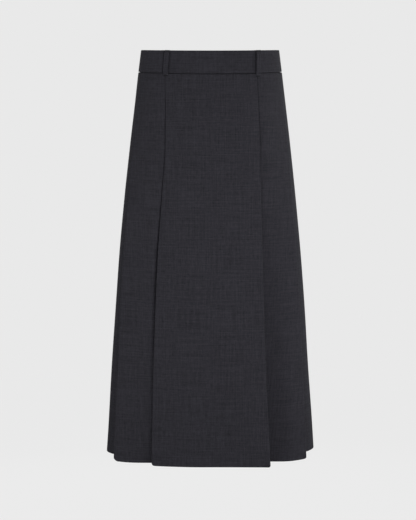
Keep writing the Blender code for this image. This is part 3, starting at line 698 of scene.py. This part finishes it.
def smooth_run(points, steps, start_direction=None, end_direction=None, crowding=1.0):
    """A smooth curve with so many steps between each point and the next, crowded towards the last point."""
    points = np.array(points, float)
    gaps = np.linalg.norm(np.diff(points, axis=0), axis=1)
    marks = np.concatenate([[0.0], np.cumsum(gaps)])
    slopes = np.empty_like(points)
    slopes[0], slopes[-1] = (points[1] - points[0]) / gaps[0], (points[-1] - points[-2]) / gaps[-1]
    slopes[1:-1] = (points[2:] - points[:-2]) / (marks[2:] - marks[:-2])[:, None]
    if start_direction is not None:
        slopes[0] = start_direction
    if end_direction is not None:
        slopes[-1] = end_direction
    k = np.append(np.repeat(np.arange(len(gaps)), steps), len(gaps) - 1)
    share = np.concatenate([np.arange(count) / count for count in steps] + [[1.0]])
    share = np.where(k == len(gaps) - 1, 1 - (1 - share) ** crowding, share)
    width, t = gaps[k][:, None], share[:, None]
    return hermite(points[k], points[k + 1], slopes[k], slopes[k + 1], width, t)


def arc(peg, start_normal, end_normal):
    """The thread round a peg, without its two ends."""
    centre, radius = peg
    start = math.atan2(start_normal[1], start_normal[0])
    end = math.atan2(end_normal[1], end_normal[0])
    sweep = (end - start) % (2 * math.pi)
    if radius > 0:
        sweep -= 2 * math.pi
    angles = start + sweep * np.arange(1, ARC_STEPS) / ARC_STEPS
    return centre + radius * np.stack([np.cos(angles), np.sin(angles)], axis=-1)


def corner_lift(points, fold, corner):
    """How far a fold's rounded corner lifts the hem, at points this far round."""
    near = np.clip(1 - (fold - points[:, 0]) / corner, 0.0, 1.0)
    return corner * (1 - np.sqrt(1 - near * near))


Turn = namedtuple("Turn", "entry fold root way_out")


def pleated(rows, height, radius, before):
    """A pleat that the cloth reaches from a point before it: where it meets the fold, the fold with the layer
    under it, the root, and the first points of the next panel."""

    def spot(across, inside):
        return np.array((column(rows, across, height), column(rows, inside, height)))

    (fold, out), (root, root_in) = spot("fold", "out"), spot("root", "root_in")
    outer = np.array((fold - radius, radius - out)), -radius
    inner = np.array((root + radius, root_in)), radius
    throat, following = spot("slit", "slit_in"), spot("next", "next_in")
    _, entry, fold_normal = shared_tangent((before, 0.0), outer)
    under_start, under_end, under_normal = shared_tangent(outer, inner)
    root_end, _, root_normal = shared_tangent(inner, (throat, 0.0))
    underlay = smooth_run([under_end, under_start], (UNDERLAY_STEPS,), crowding=FOLD_CROWDING)[::-1]
    round_fold = np.concatenate([arc(outer, fold_normal, under_normal), underlay])
    round_root = arc(inner, under_normal, root_normal)
    return Turn(entry, round_fold, round_root, [root_end, throat, following])


def quarter(height, length, centre_rows, corners):
    """The cloth from the centre line to the side seam, as (girth, depth inside the oval, lift of the hem)."""
    pressed = LAYER_PITCH / 2
    radius = pressed + (FOLD_RADIUS_AT_HEM - pressed) * eased(PLEAT_RELEASE, HEM, height)
    side_radius = pressed + (SIDE_FOLD_RADIUS - pressed) * eased(PLEAT_RELEASE, SIDE_FOLDS_OPEN, height)
    fold, out = column(centre_rows, "fold", height), column(centre_rows, "out", height)
    side_fold = column(SIDE_PLEAT, "fold", height)
    panel = [np.array((share * fold, -out * share**PANEL_FLATNESS)) for share in PANEL_STATIONS]
    pleat = pleated(centre_rows, height, radius, panel[-1])
    across = (pleat.way_out[-1][0] + (side_fold - side_radius)) / 2
    middle = np.array((across, column(SIDE_FRONT_SAG, "middle_in", height)))
    side_pleat = pleated(SIDE_PLEAT, height, side_radius, middle)
    marks = length - np.array(EDGE_MARKS[::-1]) * MM
    seam = np.stack([marks, np.zeros_like(marks)], axis=-1)
    centre = np.concatenate([
        smooth_run([*panel, pleat.entry], CENTRE_STEPS, start_direction=(1, 0), crowding=FOLD_CROWDING),
        pleat.fold,
    ])
    side_front = np.concatenate([
        pleat.root,
        smooth_run([*pleat.way_out, middle, side_pleat.entry], SIDE_FRONT_STEPS, crowding=FOLD_CROWDING),
        side_pleat.fold,
    ])
    side = np.concatenate([
        side_pleat.root,
        smooth_run([*side_pleat.way_out, seam[0]], SIDE_STEPS, end_direction=(1, 0)),
        seam[1:],
    ])
    lift = np.concatenate([
        corner_lift(centre, fold, corners.centre), corner_lift(side_front, side_fold, corners.side),
        np.zeros(len(side)),
    ])
    points = np.concatenate([centre, side_front, side])
    return np.column_stack([points, lift * (1 - eased(0, CORNER_RISE, height - HEM))])


# ---------------------------------------------------------------- meshes


def linked(name, data):
    """An object at the origin, in the scene."""
    made = bpy.data.objects.new(name, data)
    bpy.context.scene.collection.objects.link(made)
    return made


def show(name, mesh, material):
    """An object of a finished mesh, shaded smooth."""
    mesh.materials.append(material)
    mesh.shade_smooth()
    return linked(name, mesh)


def mesh_of(name, points, faces, places):
    """A mesh whose points carry their place on the flat cloth, in metres, as the UV map "cloth"."""
    mesh = bpy.data.meshes.new(name)
    mesh.from_pydata(np.asarray(points, float).tolist(), [], faces)
    corners = np.zeros(len(mesh.loops), np.int32)
    mesh.loops.foreach_get("vertex_index", corners)
    layer = mesh.uv_layers.new(name="cloth")
    layer.uv.foreach_set("vector", np.asarray(places, np.float32)[corners].ravel())
    return mesh


def plan_offset(row, distances):
    """A ring of cloth moved sideways in plan, outwards by these distances."""
    spots = row[:, :2]
    steps = np.diff(spots, axis=0)
    steps /= np.linalg.norm(steps, axis=1)[:, None]
    before = np.vstack([steps[:1], steps])
    after = np.vstack([steps, steps[-1:]])
    mean = before + after
    mean /= np.linalg.norm(mean, axis=1)[:, None]
    mitre = distances / np.einsum("ij,ij->i", mean, after)
    moved = spots + np.column_stack([mean[:, 1], -mean[:, 0]]) * mitre[:, None]
    return np.column_stack([moved, row[:, 2]])


def rounded(distance, radius):
    """0 at an edge, 1 a radius away from it, along a quarter of a circle."""
    away = 1 - np.clip(np.asarray(distance) / radius, 0.0, 1.0)
    return np.sqrt(np.maximum(1 - away * away, 0.0))


def panel_heights():
    """The rows of a panel, from the hem up, closer together through its edges and its turned hem."""
    turned = HEM + bpy.context.scene.skirt_cloth.hem_turning
    low = [HEM + mark * MM for mark in HEM_ROWS] + [turned, turned + TURNING_END / 2, turned + TURNING_END]
    middle = np.arange(HEM + ROW_STEP, WAIST_SEAM - EDGE_MARKS[-1] * MM, ROW_STEP)
    high = [WAIST_SEAM - mark * MM for mark in EDGE_MARKS] + [WAIST_SEAM + INTO_BAND]
    return sorted(low + high + [height for height in middle if abs(height - turned) > ROW_ROOM])


def wall_faces(width, count):
    """The faces of a wall of so many points across and rows up, whose back points follow its front ones."""
    back = width * count
    faces = []
    for k in range(0, (count - 1) * width, width):
        for j in range(k, k + width - 1):
            faces.append((j, j + 1, j + width + 1, j + width))
            faces.append((back + j, back + j + width, back + j + width + 1, back + j + 1))
        faces.append((k, k + width, back + k + width, back + k))
        end = k + width - 1
        faces.append((end + width, end, back + end, back + end + width))
    last = (count - 1) * width
    for j in range(width - 1):
        faces.append((j + 1, j, back + j, back + j + 1))
        faces.append((last + j, last + j + 1, back + last + j + 1, back + last + j))
    return faces


def cloth_panel(name, row_at, material):
    """A panel's wall: sewn edges turn in, the hem is a doubled round fold, and the turning shows inside."""
    cloth = bpy.context.scene.skirt_cloth
    half = cloth.thickness / 2
    outer, inner, places = [], [], []
    for height in panel_heights():
        row, middle = row_at(height)
        girths = distances_along(row[:, :2])
        sewn = np.minimum(girths, girths[-1] - girths)
        beside = cloth.side_seam_depth * (1 - rounded(sewn, cloth.edge_round))
        turning = cloth.hem_turning_wall * (1 - eased(0, TURNING_END, height - HEM - cloth.hem_turning))
        wall = 2 * half + turning
        centre = -turning / 2
        open_half = max(wall / 2 * float(rounded(height - HEM, wall / 2)), OPEN_WALL)
        outer.append(plan_offset(row, np.minimum(half - beside, centre + open_half)))
        inner.append(plan_offset(row, np.full(len(row), max(-half - turning, centre - open_half))))
        places.append(np.column_stack([girths - girths[middle], np.full(len(row), height)]))
    faces = wall_faces(len(outer[0]), len(outer))
    points = np.concatenate(outer + inner)
    return show(name, mesh_of(name, points, faces, np.concatenate(places * 2)), material)


def laid(ring, cloth, side, end):
    """Points of cloth on their ring, on one side, turned in at the waist seam."""
    settings = bpy.context.scene.skirt_cloth
    below = max(WAIST_SEAM - ring.height, 0.0)
    turned_in = settings.waist_seam_depth * (1 - float(rounded(below, settings.edge_round)))
    row = ring.place(cloth[:, 0], -cloth[:, 1] - turned_in, side, end)
    row[:, 2] += cloth[:, 2]
    return row


def front_row(height):
    """One ring of the front panel, and which of its points is at the centre front."""
    ring = Ring(height, bpy.context.scene.skirt_cloth.thickness / 2)
    left = quarter(height, ring.length, LEFT_CENTRE_PLEAT, LEFT_CORNERS)[::-1]
    right = quarter(height, ring.length, CENTRE_PLEAT, RIGHT_CORNERS)[1:]
    row = np.concatenate([laid(ring, left, LEFT, FRONT), laid(ring, right, RIGHT, FRONT)])
    return row, len(left) - 1


def back_row(height, side):
    """One ring of a back panel, and which of its points is at its sewn edge at the centre back."""
    ring = Ring(height, bpy.context.scene.skirt_cloth.thickness / 2)
    cloth = quarter(height, ring.length, CENTRE_PLEAT, RIGHT_CORNERS)
    marks = np.array(EDGE_MARKS) * MM
    cloth = np.concatenate([np.stack([marks, 0 * marks, 0 * marks], axis=-1), cloth[1:]])
    if side == RIGHT:
        cloth = cloth[::-1]
    row = laid(ring, cloth, side, BACK)
    return row, len(row) - 1 if side == RIGHT else 0


def tube(name, sections, places, material):
    """A closed body through rings of points, with its two ends filled."""
    sections = np.asarray(sections)
    count, around = sections.shape[:2]
    last = (count - 1) * around
    faces = []
    for low in range(0, last, around):
        for j in range(around):
            following = low + (j + 1) % around
            faces.append((low + j, following, following + around, low + around + j))
    faces += [tuple(reversed(range(around))), tuple(range(last, last + around))]
    mesh = mesh_of(name, sections.reshape(-1, 3), faces, np.asarray(places).reshape(-1, 2))
    shape = bmesh.new()
    shape.from_mesh(mesh)
    bmesh.ops.recalc_face_normals(shape, faces=shape.faces)
    shape.to_mesh(mesh)
    shape.free()
    return show(name, mesh, material)


def carrier(points, facings):
    """A path of edges whose points say which way the surface faces, all alike or each for itself."""
    points = np.asarray(points, float)
    mesh = bpy.data.meshes.new("path")
    mesh.from_pydata(points.tolist(), [(k, k + 1) for k in range(len(points) - 1)], [])
    facing = mesh.attributes.new("facing", "FLOAT_VECTOR", "POINT")
    facing.data.foreach_set("vector", np.broadcast_to(facings, points.shape).astype(np.float32).ravel())
    return linked("path", mesh)


def joined(name, pieces):
    """Several plain meshes as one object."""
    shape = bmesh.new()
    for piece in pieces:
        shape.from_mesh(piece.data)
    mesh = bpy.data.meshes.new(name)
    shape.to_mesh(mesh)
    shape.free()
    made = show(name, mesh, pieces[0].data.materials[0])
    for piece in pieces:
        bpy.data.objects.remove(piece)
    return made


def dress(piece, node=None):
    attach(piece, SKIRT_BODY)
    if node:
        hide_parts(node)
    return piece


def material(name, make, settings):
    """A material that is made once, when it is first asked for."""
    return bpy.data.materials.get(name) or make(settings)


# ---------------------------------------------------------------- the skirt's pieces


class SKIRT_OT_panels(bpy.types.Operator):
    """Front and back panels with their pleats, turned edges and doubled hem"""

    bl_idname = "skirt.panels"
    bl_label = "Skirt panels"

    def execute(self, context):
        cloth = material("charcoal_suiting", suiting, context.scene.skirt_cloth)
        made = (
            ("front_panel", "skirt_front", front_row),
            ("back_left_panel", "skirt_back_left", lambda height: back_row(height, LEFT)),
            ("back_right_panel", "skirt_back_right", lambda height: back_row(height, RIGHT)),
        )
        for name, node, row_at in made:
            piece = dress(cloth_panel(name, row_at, cloth), node=node)
            hem_girth = cloth_girth(row_at(HEM)[0])
            waist_girth = cloth_girth(row_at(WAIST_SEAM)[0])
        return {"FINISHED"}


def cloth_girth(row):
    return float(np.linalg.norm(np.diff(row[:, :2], axis=0), axis=1).sum())


def band_outline(cloth):
    """The waistband's section as (depth inside the oval, height): square-set, with a folded round top."""
    wall, low, high = cloth.band_wall, WAIST_SEAM + SEAM_SLIT, BAND_TOP + BAND_CROWN
    radius, soft = wall / 2, cloth.edge_round * BAND_SEAM_ROUND
    turns = np.linspace(0, math.pi / 2, BAND_LOW_STEPS)
    outer_low = [(soft * (1 - math.sin(t)), low + soft * (1 - math.cos(t))) for t in turns]
    face = [(0.0, height) for height in np.linspace(low + soft, high - radius, BAND_FACE_STEPS)[1:-1]]
    top = [
        (radius - radius * math.cos(t), high - radius + radius * math.sin(t))
        for t in np.linspace(0, math.pi, BAND_TOP_STEPS)
    ]
    back = [
        (wall, height) for height in np.linspace(high - radius, low + soft / 2, BAND_BACK_STEPS)[1:]
    ]
    return outer_low + face + top + back + [(wall - soft / 2, low)]


def band_point(depth, ring, side, end, share):
    """A point of the band, this far inside its face and at this share of its quarter."""
    cloth, zipper = bpy.context.scene.skirt_cloth, bpy.context.scene.skirt_zip
    parted = SLIDER_GAP * eased(SLIDER_FOOT, SLIDER_NECK, ring.height - zipper.slider_height)
    start = BACK_GAP + parted if end == BACK else 0.0
    along = start + (ring.length - start) * share
    if depth < cloth.band_wall / 2:
        depth = max(depth, min(depth + ditch_depth(side, end, along, ring.height), DITCH))
    return ring.place(along, -depth, side, end)


class SKIRT_OT_waistband(bpy.types.Operator):
    """Straight interlined waistband, folded at its top edge and open at the centre back"""

    bl_idname = "skirt.waistband"
    bl_label = "Waistband"

    def execute(self, context):
        cloth = context.scene.skirt_cloth
        outline = band_outline(cloth)
        rings = [Ring(height) for _, height in outline]
        around = distances_along(outline)
        sections, places, run = [], [], 0.0
        for side, end, share in band_stations():
            section = [
                band_point(depth, ring, side, end, share) for (depth, _), ring in zip(outline, rings)
            ]
            if sections:
                run += np.linalg.norm(section[0] - sections[-1][0])
            sections.append(section)
            places.append(np.column_stack([np.full(len(around), run), around + WAIST_SEAM]))
        piece = tube(
            "waistband_cloth", sections, places, material("charcoal_suiting", suiting, cloth)
        )
        dress(piece, node="waistband")
        return {"FINISHED"}


def loop_middle(place, height):
    """How far round the band the middle of a loop lies at a height."""
    share = (height - WAIST_SEAM) / (BAND_TOP - WAIST_SEAM)
    return place.bottom + (place.top - place.bottom) * share


def ditch_middle(place, height):
    """How far round the band is pressed in beside a loop's left edge, as seen by who faces that loop."""
    return loop_middle(place, height) - place.side * place.end * FRONT * place.to_ditch


def ditch_depth(side, end, along, height):
    """How deep the soft band is pressed in, this far round it."""
    return DITCH * sum(
        math.exp(-(((along - ditch_middle(place, height)) / DITCH_WIDTH) ** 2))
        for place in LOOPS if (place.side, place.end) == (side, end)
    )


def band_shares(side, end, low, high):
    """Shares of a quarter of the band between two rings, closer together beside a belt loop."""
    shares = [*BAND_END_SHARES, *np.linspace(BAND_EVEN_FROM, 1, BAND_STATIONS)]
    for place in LOOPS:
        if (place.side, place.end) == (side, end):
            marks = sorted(ditch_middle(place, ring.height) / ring.length for ring in (low, high))
            reach = 3 * DITCH_WIDTH / low.length
            first, last = marks[0] - reach, marks[1] + reach
            shares = [share for share in shares if not first < share < last]
            shares += list(np.linspace(first, last, 2 + int((last - first) * low.length / DITCH_STEP)))
    return sorted(shares)


def band_stations():
    """(side, end, share of the quarter) of every section round the band, from its left end to its right."""
    low, high = Ring(WAIST_SEAM), Ring(BAND_TOP)
    stations = []
    for side, end, step in ((LEFT, BACK, 1), (LEFT, FRONT, -1), (RIGHT, FRONT, 1), (RIGHT, BACK, -1)):
        shares = band_shares(side, end, low, high)[::step]
        stations += [(side, end, share) for share in (shares[1:] if stations else shares)]
    return stations


def loop_ends(place, loops):
    """The heights of a belt loop's lower and upper end."""
    return WAIST_SEAM - place.below_seam, BAND_TOP + loops.above_band


def loop_path(place, loops):
    """(height, distance from the band's face) of a belt loop's middle layer, from its foot to its top."""
    low, high = LOOP_GAP + loops.wall / 2, loops.clearance + loops.wall / 2
    bottom, top = loop_ends(place, loops)
    foot, head = bottom + loops.foot, top - loops.foot
    share = np.linspace(0, 1, LOOP_BEND_STEPS)
    heights = np.concatenate([
        np.linspace(bottom, foot, LOOP_END_STEPS)[:-1],
        foot + share * loops.bend,
        np.linspace(foot + loops.bend, head - loops.bend, LOOP_MIDDLE_STEPS)[1:-1],
        head - share[::-1] * loops.bend,
        np.linspace(head, top, LOOP_END_STEPS)[1:],
    ])
    sewn = np.full(LOOP_END_STEPS - 1, low)
    rise = low + (high - low) * eased(0, 1, share)
    outs = np.concatenate([sewn, rise, np.full(LOOP_MIDDLE_STEPS - 2, high), rise[::-1], sewn])
    return np.stack([heights, outs], axis=-1)


def strip_section(width, wall):
    """(across, thickness) points round a flat strip with round edges."""
    radius = wall / 2
    flat = width / 2 - radius
    turns = np.linspace(-math.pi / 2, math.pi / 2, SECTION_TURNS)
    right = [(flat + radius * math.cos(t), radius * math.sin(t)) for t in turns]
    top = [(across, radius) for across in np.linspace(flat, -flat, SECTION_ACROSS)[1:-1]]
    half = np.array(right + top)
    return np.concatenate([half, -half])


def loop_point(place, loops, height, out, across):
    """A point of a belt loop, this far across it from its middle line."""
    bottom, top = loop_ends(place, loops)
    share = (height - bottom) / (top - bottom)
    lifted = max(math.sin(math.pi * share), 0.0)
    lean = -place.side * place.end * FRONT * loops.lean * lifted * across / (loops.width / 2)
    return Ring(height).place(loop_middle(place, height) + across, out + lean, place.side, place.end)


def loop_strip(place, loops, path, cloth):
    """A belt loop along its path, with its length along the cloth."""
    section = strip_section(loops.width, loops.wall)
    girth, run = distances_along(section), distances_along(path)
    tangents = np.gradient(path, axis=0)
    tangents /= np.linalg.norm(tangents, axis=1)[:, None]
    close = rounded(np.minimum(run, run[-1] - run) + LOOP_BLUNT, loops.wall / 2)
    sections, places = [], []
    for (height, out), (up, away), length, full in zip(path, tangents, run, close):
        sections.append([
            loop_point(place, loops, height - thick * full * away, out + thick * full * up, across)
            for across, thick in section
        ])
        places.append(np.column_stack([girth, np.full(len(girth), length)]))
    return tube(place.name + "_cloth", sections, places, cloth), float(run[-1])


def level_facing(line):
    """The level direction outwards from the middle of a line of points."""
    middle = line[len(line) // 2]
    return middle * (1, 1, 0) / np.linalg.norm(middle[:2])


def tack_lines(place, loops, path):
    """The lines of points under the bar tacks at a belt loop's two ends. The lower one lies on the cloth just
    below the end, where its near-black thread paints the loop's shadow.
    """
    cloth_face = -min(row.out for row in CENTRE_PLEAT + LEFT_CENTRE_PLEAT)
    reach = loops.width / 2 - TACK_INSET
    low = path[0, 0] - SHADOW_TACK_BELOW, cloth_face + TACK_ON_CLOTH
    high = path[-3, 0], path[-3, 1] + loops.wall / 2 + TACK_ON_LOOP
    return [
        [loop_point(place, loops, height, out, across) for across in np.linspace(-reach, reach, TACK_POINTS)]
        for height, out in (low, high)
    ]


def ditch_shadow_line(place):
    """The points along the bottom of the ditch beside a belt loop, where near-black stitches paint a shadow
    line.
    """
    return [
        Ring(height).place(ditch_middle(place, height), DITCH_RISE - DITCH, place.side, place.end)
        for height in np.linspace(WAIST_SEAM + DITCH_FROM_EDGES, BAND_TOP - DITCH_FROM_EDGES, DITCH_POINTS)
    ]


class SKIRT_OT_belt_loops(bpy.types.Operator):
    """Belt loops with round edges, sewn down at both ends with bar tacks; the near-black lower tacks and
    ditch stitches also paint the loops' shadow lines
    """

    bl_idname = "skirt.belt_loops"
    bl_label = "Belt loops"

    def execute(self, context):
        loops, sewing = context.scene.skirt_loops, context.scene.skirt_sewing
        cloth = material("charcoal_suiting", suiting, context.scene.skirt_cloth)
        stitches = stitch_growth(material("sewing_thread_and_painted_shade", thread_finish, sewing))
        made = []
        for place in LOOPS:
            path = loop_path(place, loops)
            piece, length = loop_strip(place, loops, path, cloth)
            dress(piece, node=place.name)
            panel = "skirt_front" if place.end == FRONT else place.name.replace("belt_loop", "skirt")
            loops.width + loops.wall
            # the lower tack's near-black thread, just below the loop's end, paints the shadow under it
            for line in tack_lines(place, loops, path):
                made.append(stitches.grow(
                    "tack", line, level_facing(line), pitch=sewing.tack_pitch,
                    radius=sewing.thread_radius, seed=FIRST_TACK_SEED + len(made), **TACK_STITCH,
                ))
            # near-black stitches in the ditch, painting a shadow line beside the loop's left edge
            line = ditch_shadow_line(place)
            made.append(stitches.grow(
                "ditch_shadow_stitches", line, level_facing(line), pitch=sewing.ditch_pitch,
                length=sewing.ditch_pitch * DITCH_SHADOW_FILLED, seed=FIRST_TACK_SEED + len(made), **DITCH_SHADOW_STITCH,
            ))
        dress(joined("belt_loop_stitches", made))
        return {"FINISHED"}


class SKIRT_OT_hem_stitches(bpy.types.Operator):
    """Overlock stitches over the raw edge of the turned hem, inside the skirt"""

    bl_idname = "skirt.hem_stitches"
    bl_label = "Hem stitches"

    def execute(self, context):
        cloth, sewing = context.scene.skirt_cloth, context.scene.skirt_sewing
        stitches = stitch_growth(material("sewing_thread_and_painted_shade", thread_finish, sewing))
        height = HEM + cloth.hem_turning + OVERLOCK_RISE
        into = -cloth.thickness / 2 - cloth.hem_turning_wall * OVERLOCK_SUNK - sewing.thread_radius
        made = []
        for row_at in (front_row, lambda at: back_row(at, LEFT), lambda at: back_row(at, RIGHT)):
            row = row_at(height)[0]
            line = plan_offset(row, np.full(len(row), into))
            inward = plan_offset(row, np.full(len(row), into - 1 * MM)) - line
            facing = inward / np.linalg.norm(inward, axis=1)[:, None]
            made.append(stitches.grow(
                "hem", line, facing, pitch=sewing.hem_pitch, radius=sewing.thread_radius,
                seed=FIRST_OVERLOCK_SEED + len(made), **OVERLOCK_STITCH,
            ))
        dress(joined("hem_overlock", made))
        return {"FINISHED"}


def tape_depth(height, zipper, cloth):
    """How far the middle of the tape lies inside the outer face at the centre back."""
    behind_cloth = cloth.thickness + TAPE_BEHIND_CLOTH + zipper.tape_wall / 2
    behind_band = cloth.band_wall + TAPE_BEHIND_BAND + zipper.tape_wall / 2
    return behind_cloth + (behind_band - behind_cloth) * eased(WAIST_SEAM - TAPE_STEP, WAIST_SEAM, height)


class SKIRT_OT_zip(bpy.types.Operator):
    """Concealed zip: woven tape, nylon coil, and the metal slider and pull"""

    bl_idname = "skirt.zip"
    bl_label = "Concealed zip"

    def execute(self, context):
        zipper, cloth = context.scene.skirt_zip, context.scene.skirt_cloth
        tape = material("zip_tape_weave", tape_finish, zipper)
        metal = material("dark_zip_metal", metal_finish, zipper)
        heights = np.linspace(ZIP_BOTTOM, BAND_TOP - TAPE_BELOW_TOP, TAPE_ROWS)
        section = strip_section(zipper.tape_width, zipper.tape_wall)
        sections, places, coil = [], [], []
        for height in heights:
            ring, depth = Ring(height), tape_depth(height, zipper, cloth)
            sections.append([
                ring.place(abs(across), thick - depth, RIGHT if across > 0 else LEFT, BACK)
                for across, thick in section
            ])
            places.append(np.column_stack([section[:, 0], np.full(len(section), height)]))
            if height < zipper.slider_height - COIL_BELOW_SLIDER:
                coil.append(ring.place(0.0, -depth - zipper.tape_wall / 2 - COIL_RISE, RIGHT, BACK))
        piece = tube("zip_tape_cloth", sections, places, tape)
        dress(piece, node="zip_tape")
        teeth = stitch_growth(tape).grow(
            "zip_coil", coil, (0.0, -1.0, 0.0), pitch=zipper.coil_pitch, length=zipper.coil_width,
            seed=1.0, **COIL_TURNS,
        )
        dress(teeth)
        for node in ("zip_slider", "zip_pull"):
            solid = frame["nodes"][node]
            solid.data.materials.clear()
            solid.data.materials.append(metal)
        return {"FINISHED"}


# ---------------------------------------------------------------- the stage


def floor_finish(stage):
    """Pale floor that takes a faint shadow, and melts into its surroundings away from the middle."""
    finish = Finish("pale_floor", {"Roughness": 0.9, "Specular IOR Level": 0.0, "Emission Strength": 1.0})
    place = finish.object_place()
    plan = finish.wire(
        "ShaderNodeVectorMath", {"operation": "MULTIPLY"}, {0: place, 1: (1.0, 1.0, 0.0)}
    )
    far = finish.wire("ShaderNodeVectorMath", {"operation": "LENGTH"}, {0: plan}, "Value")
    fade = finish.wire(
        "ShaderNodeMapRange", {"interpolation_type": "SMOOTHSTEP"},
        {"Value": far, "From Min": FLOOR_FADE_FROM, "From Max": FLOOR_FADE_TO, "To Min": 0.0, "To Max": 1.0},
    )
    finish.feed("Base Color", finish.tinted(stage.pale, FLOOR_LIT - fade * FLOOR_LIT))
    finish.feed("Emission Color", finish.tinted(stage.pale, FLOOR_GLOW + fade * (1 - FLOOR_GLOW)))
    return finish.material


def lamp_side(lamp):
    """The direction from the skirt to a lamp."""
    round_z, up = math.radians(lamp.azimuth), math.radians(lamp.elevation)
    return Vector((math.sin(round_z) * math.cos(up), -math.cos(round_z) * math.cos(up), math.sin(up)))


def lit(name, kind, **settings):
    """A lamp object of one kind, with its settings."""
    lamp = bpy.data.lights.new(name, kind)
    for setting, value in settings.items():
        setattr(lamp, setting, value)
    made = linked(name, lamp)
    made.visible_camera = False
    return made


def soft_lamps(stage):
    for lamp in FAR_LAMPS:
        sun = lit(lamp.name, "SUN", angle=math.radians(lamp.spread), energy=lamp.strength * stage.light)
        sun.rotation_euler = lamp_side(lamp).to_track_quat("Z", "Y").to_euler()
    for lamp in NEAR_LAMPS:
        power = lamp.strength * stage.light * math.pi * NEAR_DISTANCE**2
        disk = lit(lamp.name, "AREA", shape="DISK", size=lamp.size, energy=power)
        disk.location = LIT_MIDDLE + lamp_side(lamp) * NEAR_DISTANCE
        disk.rotation_euler = lamp_side(lamp).to_track_quat("Z", "Y").to_euler()
    bulb = lit("inside", "POINT", energy=stage.inside, shadow_soft_size=BULB_RADIUS)
    bulb.location = BULB_PLACE


def pale_floor(stage):
    """A wide disk that reflects nothing onto the skirt."""
    shape = bmesh.new()
    place = Matrix.Translation((0, 0, stage.floor_height))
    bmesh.ops.create_circle(
        shape, cap_ends=True, segments=FLOOR_SEGMENTS, radius=FLOOR_RADIUS, matrix=place
    )
    mesh = bpy.data.meshes.new("floor")
    shape.to_mesh(mesh)
    shape.free()
    floor = show("floor", mesh, floor_finish(stage))
    floor.visible_diffuse = False
    floor.visible_glossy = False


def pale_surroundings(stage):
    world = bpy.data.worlds.new("pale_surroundings")
    world.use_nodes = True
    world.node_tree.nodes["Background"].inputs["Color"].default_value = (*stage.pale, 1.0)
    world.cycles_visibility.diffuse = False
    world.cycles_visibility.glossy = False
    return world


def front_camera():
    lens = bpy.data.cameras.new("camera")
    lens.sensor_width = SENSOR
    lens.lens = FOCAL_PX / VIEW_HEIGHT_PX * SENSOR
    lens.clip_end = CAMERA_REACH
    camera = linked("camera", lens)
    camera.location = CAMERA_PLACE
    camera.rotation_euler = (math.pi / 2 - CAMERA_PITCH, 0.0, 0.0)
    return camera


class SKIRT_OT_stage(bpy.types.Operator):
    """Pale floor, soft studio light and the camera"""

    bl_idname = "skirt.stage"
    bl_label = "Stage"

    def execute(self, context):
        stage = context.scene.skirt_stage
        pale_floor(stage)
        context.scene.world = pale_surroundings(stage)
        soft_lamps(stage)
        context.scene.camera = front_camera()
        context.scene.view_settings.view_transform = "Standard"
        return {"FINISHED"}


class SKIRT_PT_panel(bpy.types.Panel):
    """The skirt's buttons and settings, in the sidebar"""

    bl_idname = "SKIRT_PT_panel"
    bl_label = "Pleated midi skirt"
    bl_space_type = "VIEW_3D"
    bl_region_type = "UI"
    bl_category = "Skirt"

    def draw(self, context):
        for operator in OPERATORS:
            self.layout.operator(operator.bl_idname)
        for name, _ in SETTINGS:
            box = self.layout.box()
            settings = getattr(context.scene, name)
            for field in settings.bl_rna.properties:
                if field.identifier not in ("rna_type", "name"):
                    box.prop(settings, field.identifier)


OPERATORS = (
    SKIRT_OT_panels, SKIRT_OT_waistband, SKIRT_OT_belt_loops, SKIRT_OT_hem_stitches, SKIRT_OT_zip,
    SKIRT_OT_stage,
)
SETTINGS = (
    ("skirt_cloth", ClothSettings), ("skirt_loops", LoopSettings), ("skirt_sewing", SewingSettings),
    ("skirt_zip", ZipSettings), ("skirt_stage", StageSettings),
)


def register():
    for name, group in SETTINGS:
        bpy.utils.register_class(group)
        setattr(bpy.types.Scene, name, PointerProperty(type=group))
    for kind in (*OPERATORS, SKIRT_PT_panel):
        bpy.utils.register_class(kind)


def unregister():
    for kind in (SKIRT_PT_panel, *reversed(OPERATORS)):
        bpy.utils.unregister_class(kind)
    for name, group in reversed(SETTINGS):
        delattr(bpy.types.Scene, name)
        bpy.utils.unregister_class(group)


def main():
    register()
    bpy.ops.skirt.stage()
    bpy.ops.skirt.panels()
    bpy.ops.skirt.waistband()
    bpy.ops.skirt.belt_loops()
    bpy.ops.skirt.hem_stitches()
    bpy.ops.skirt.zip()


if __name__ == "__main__":
    main()
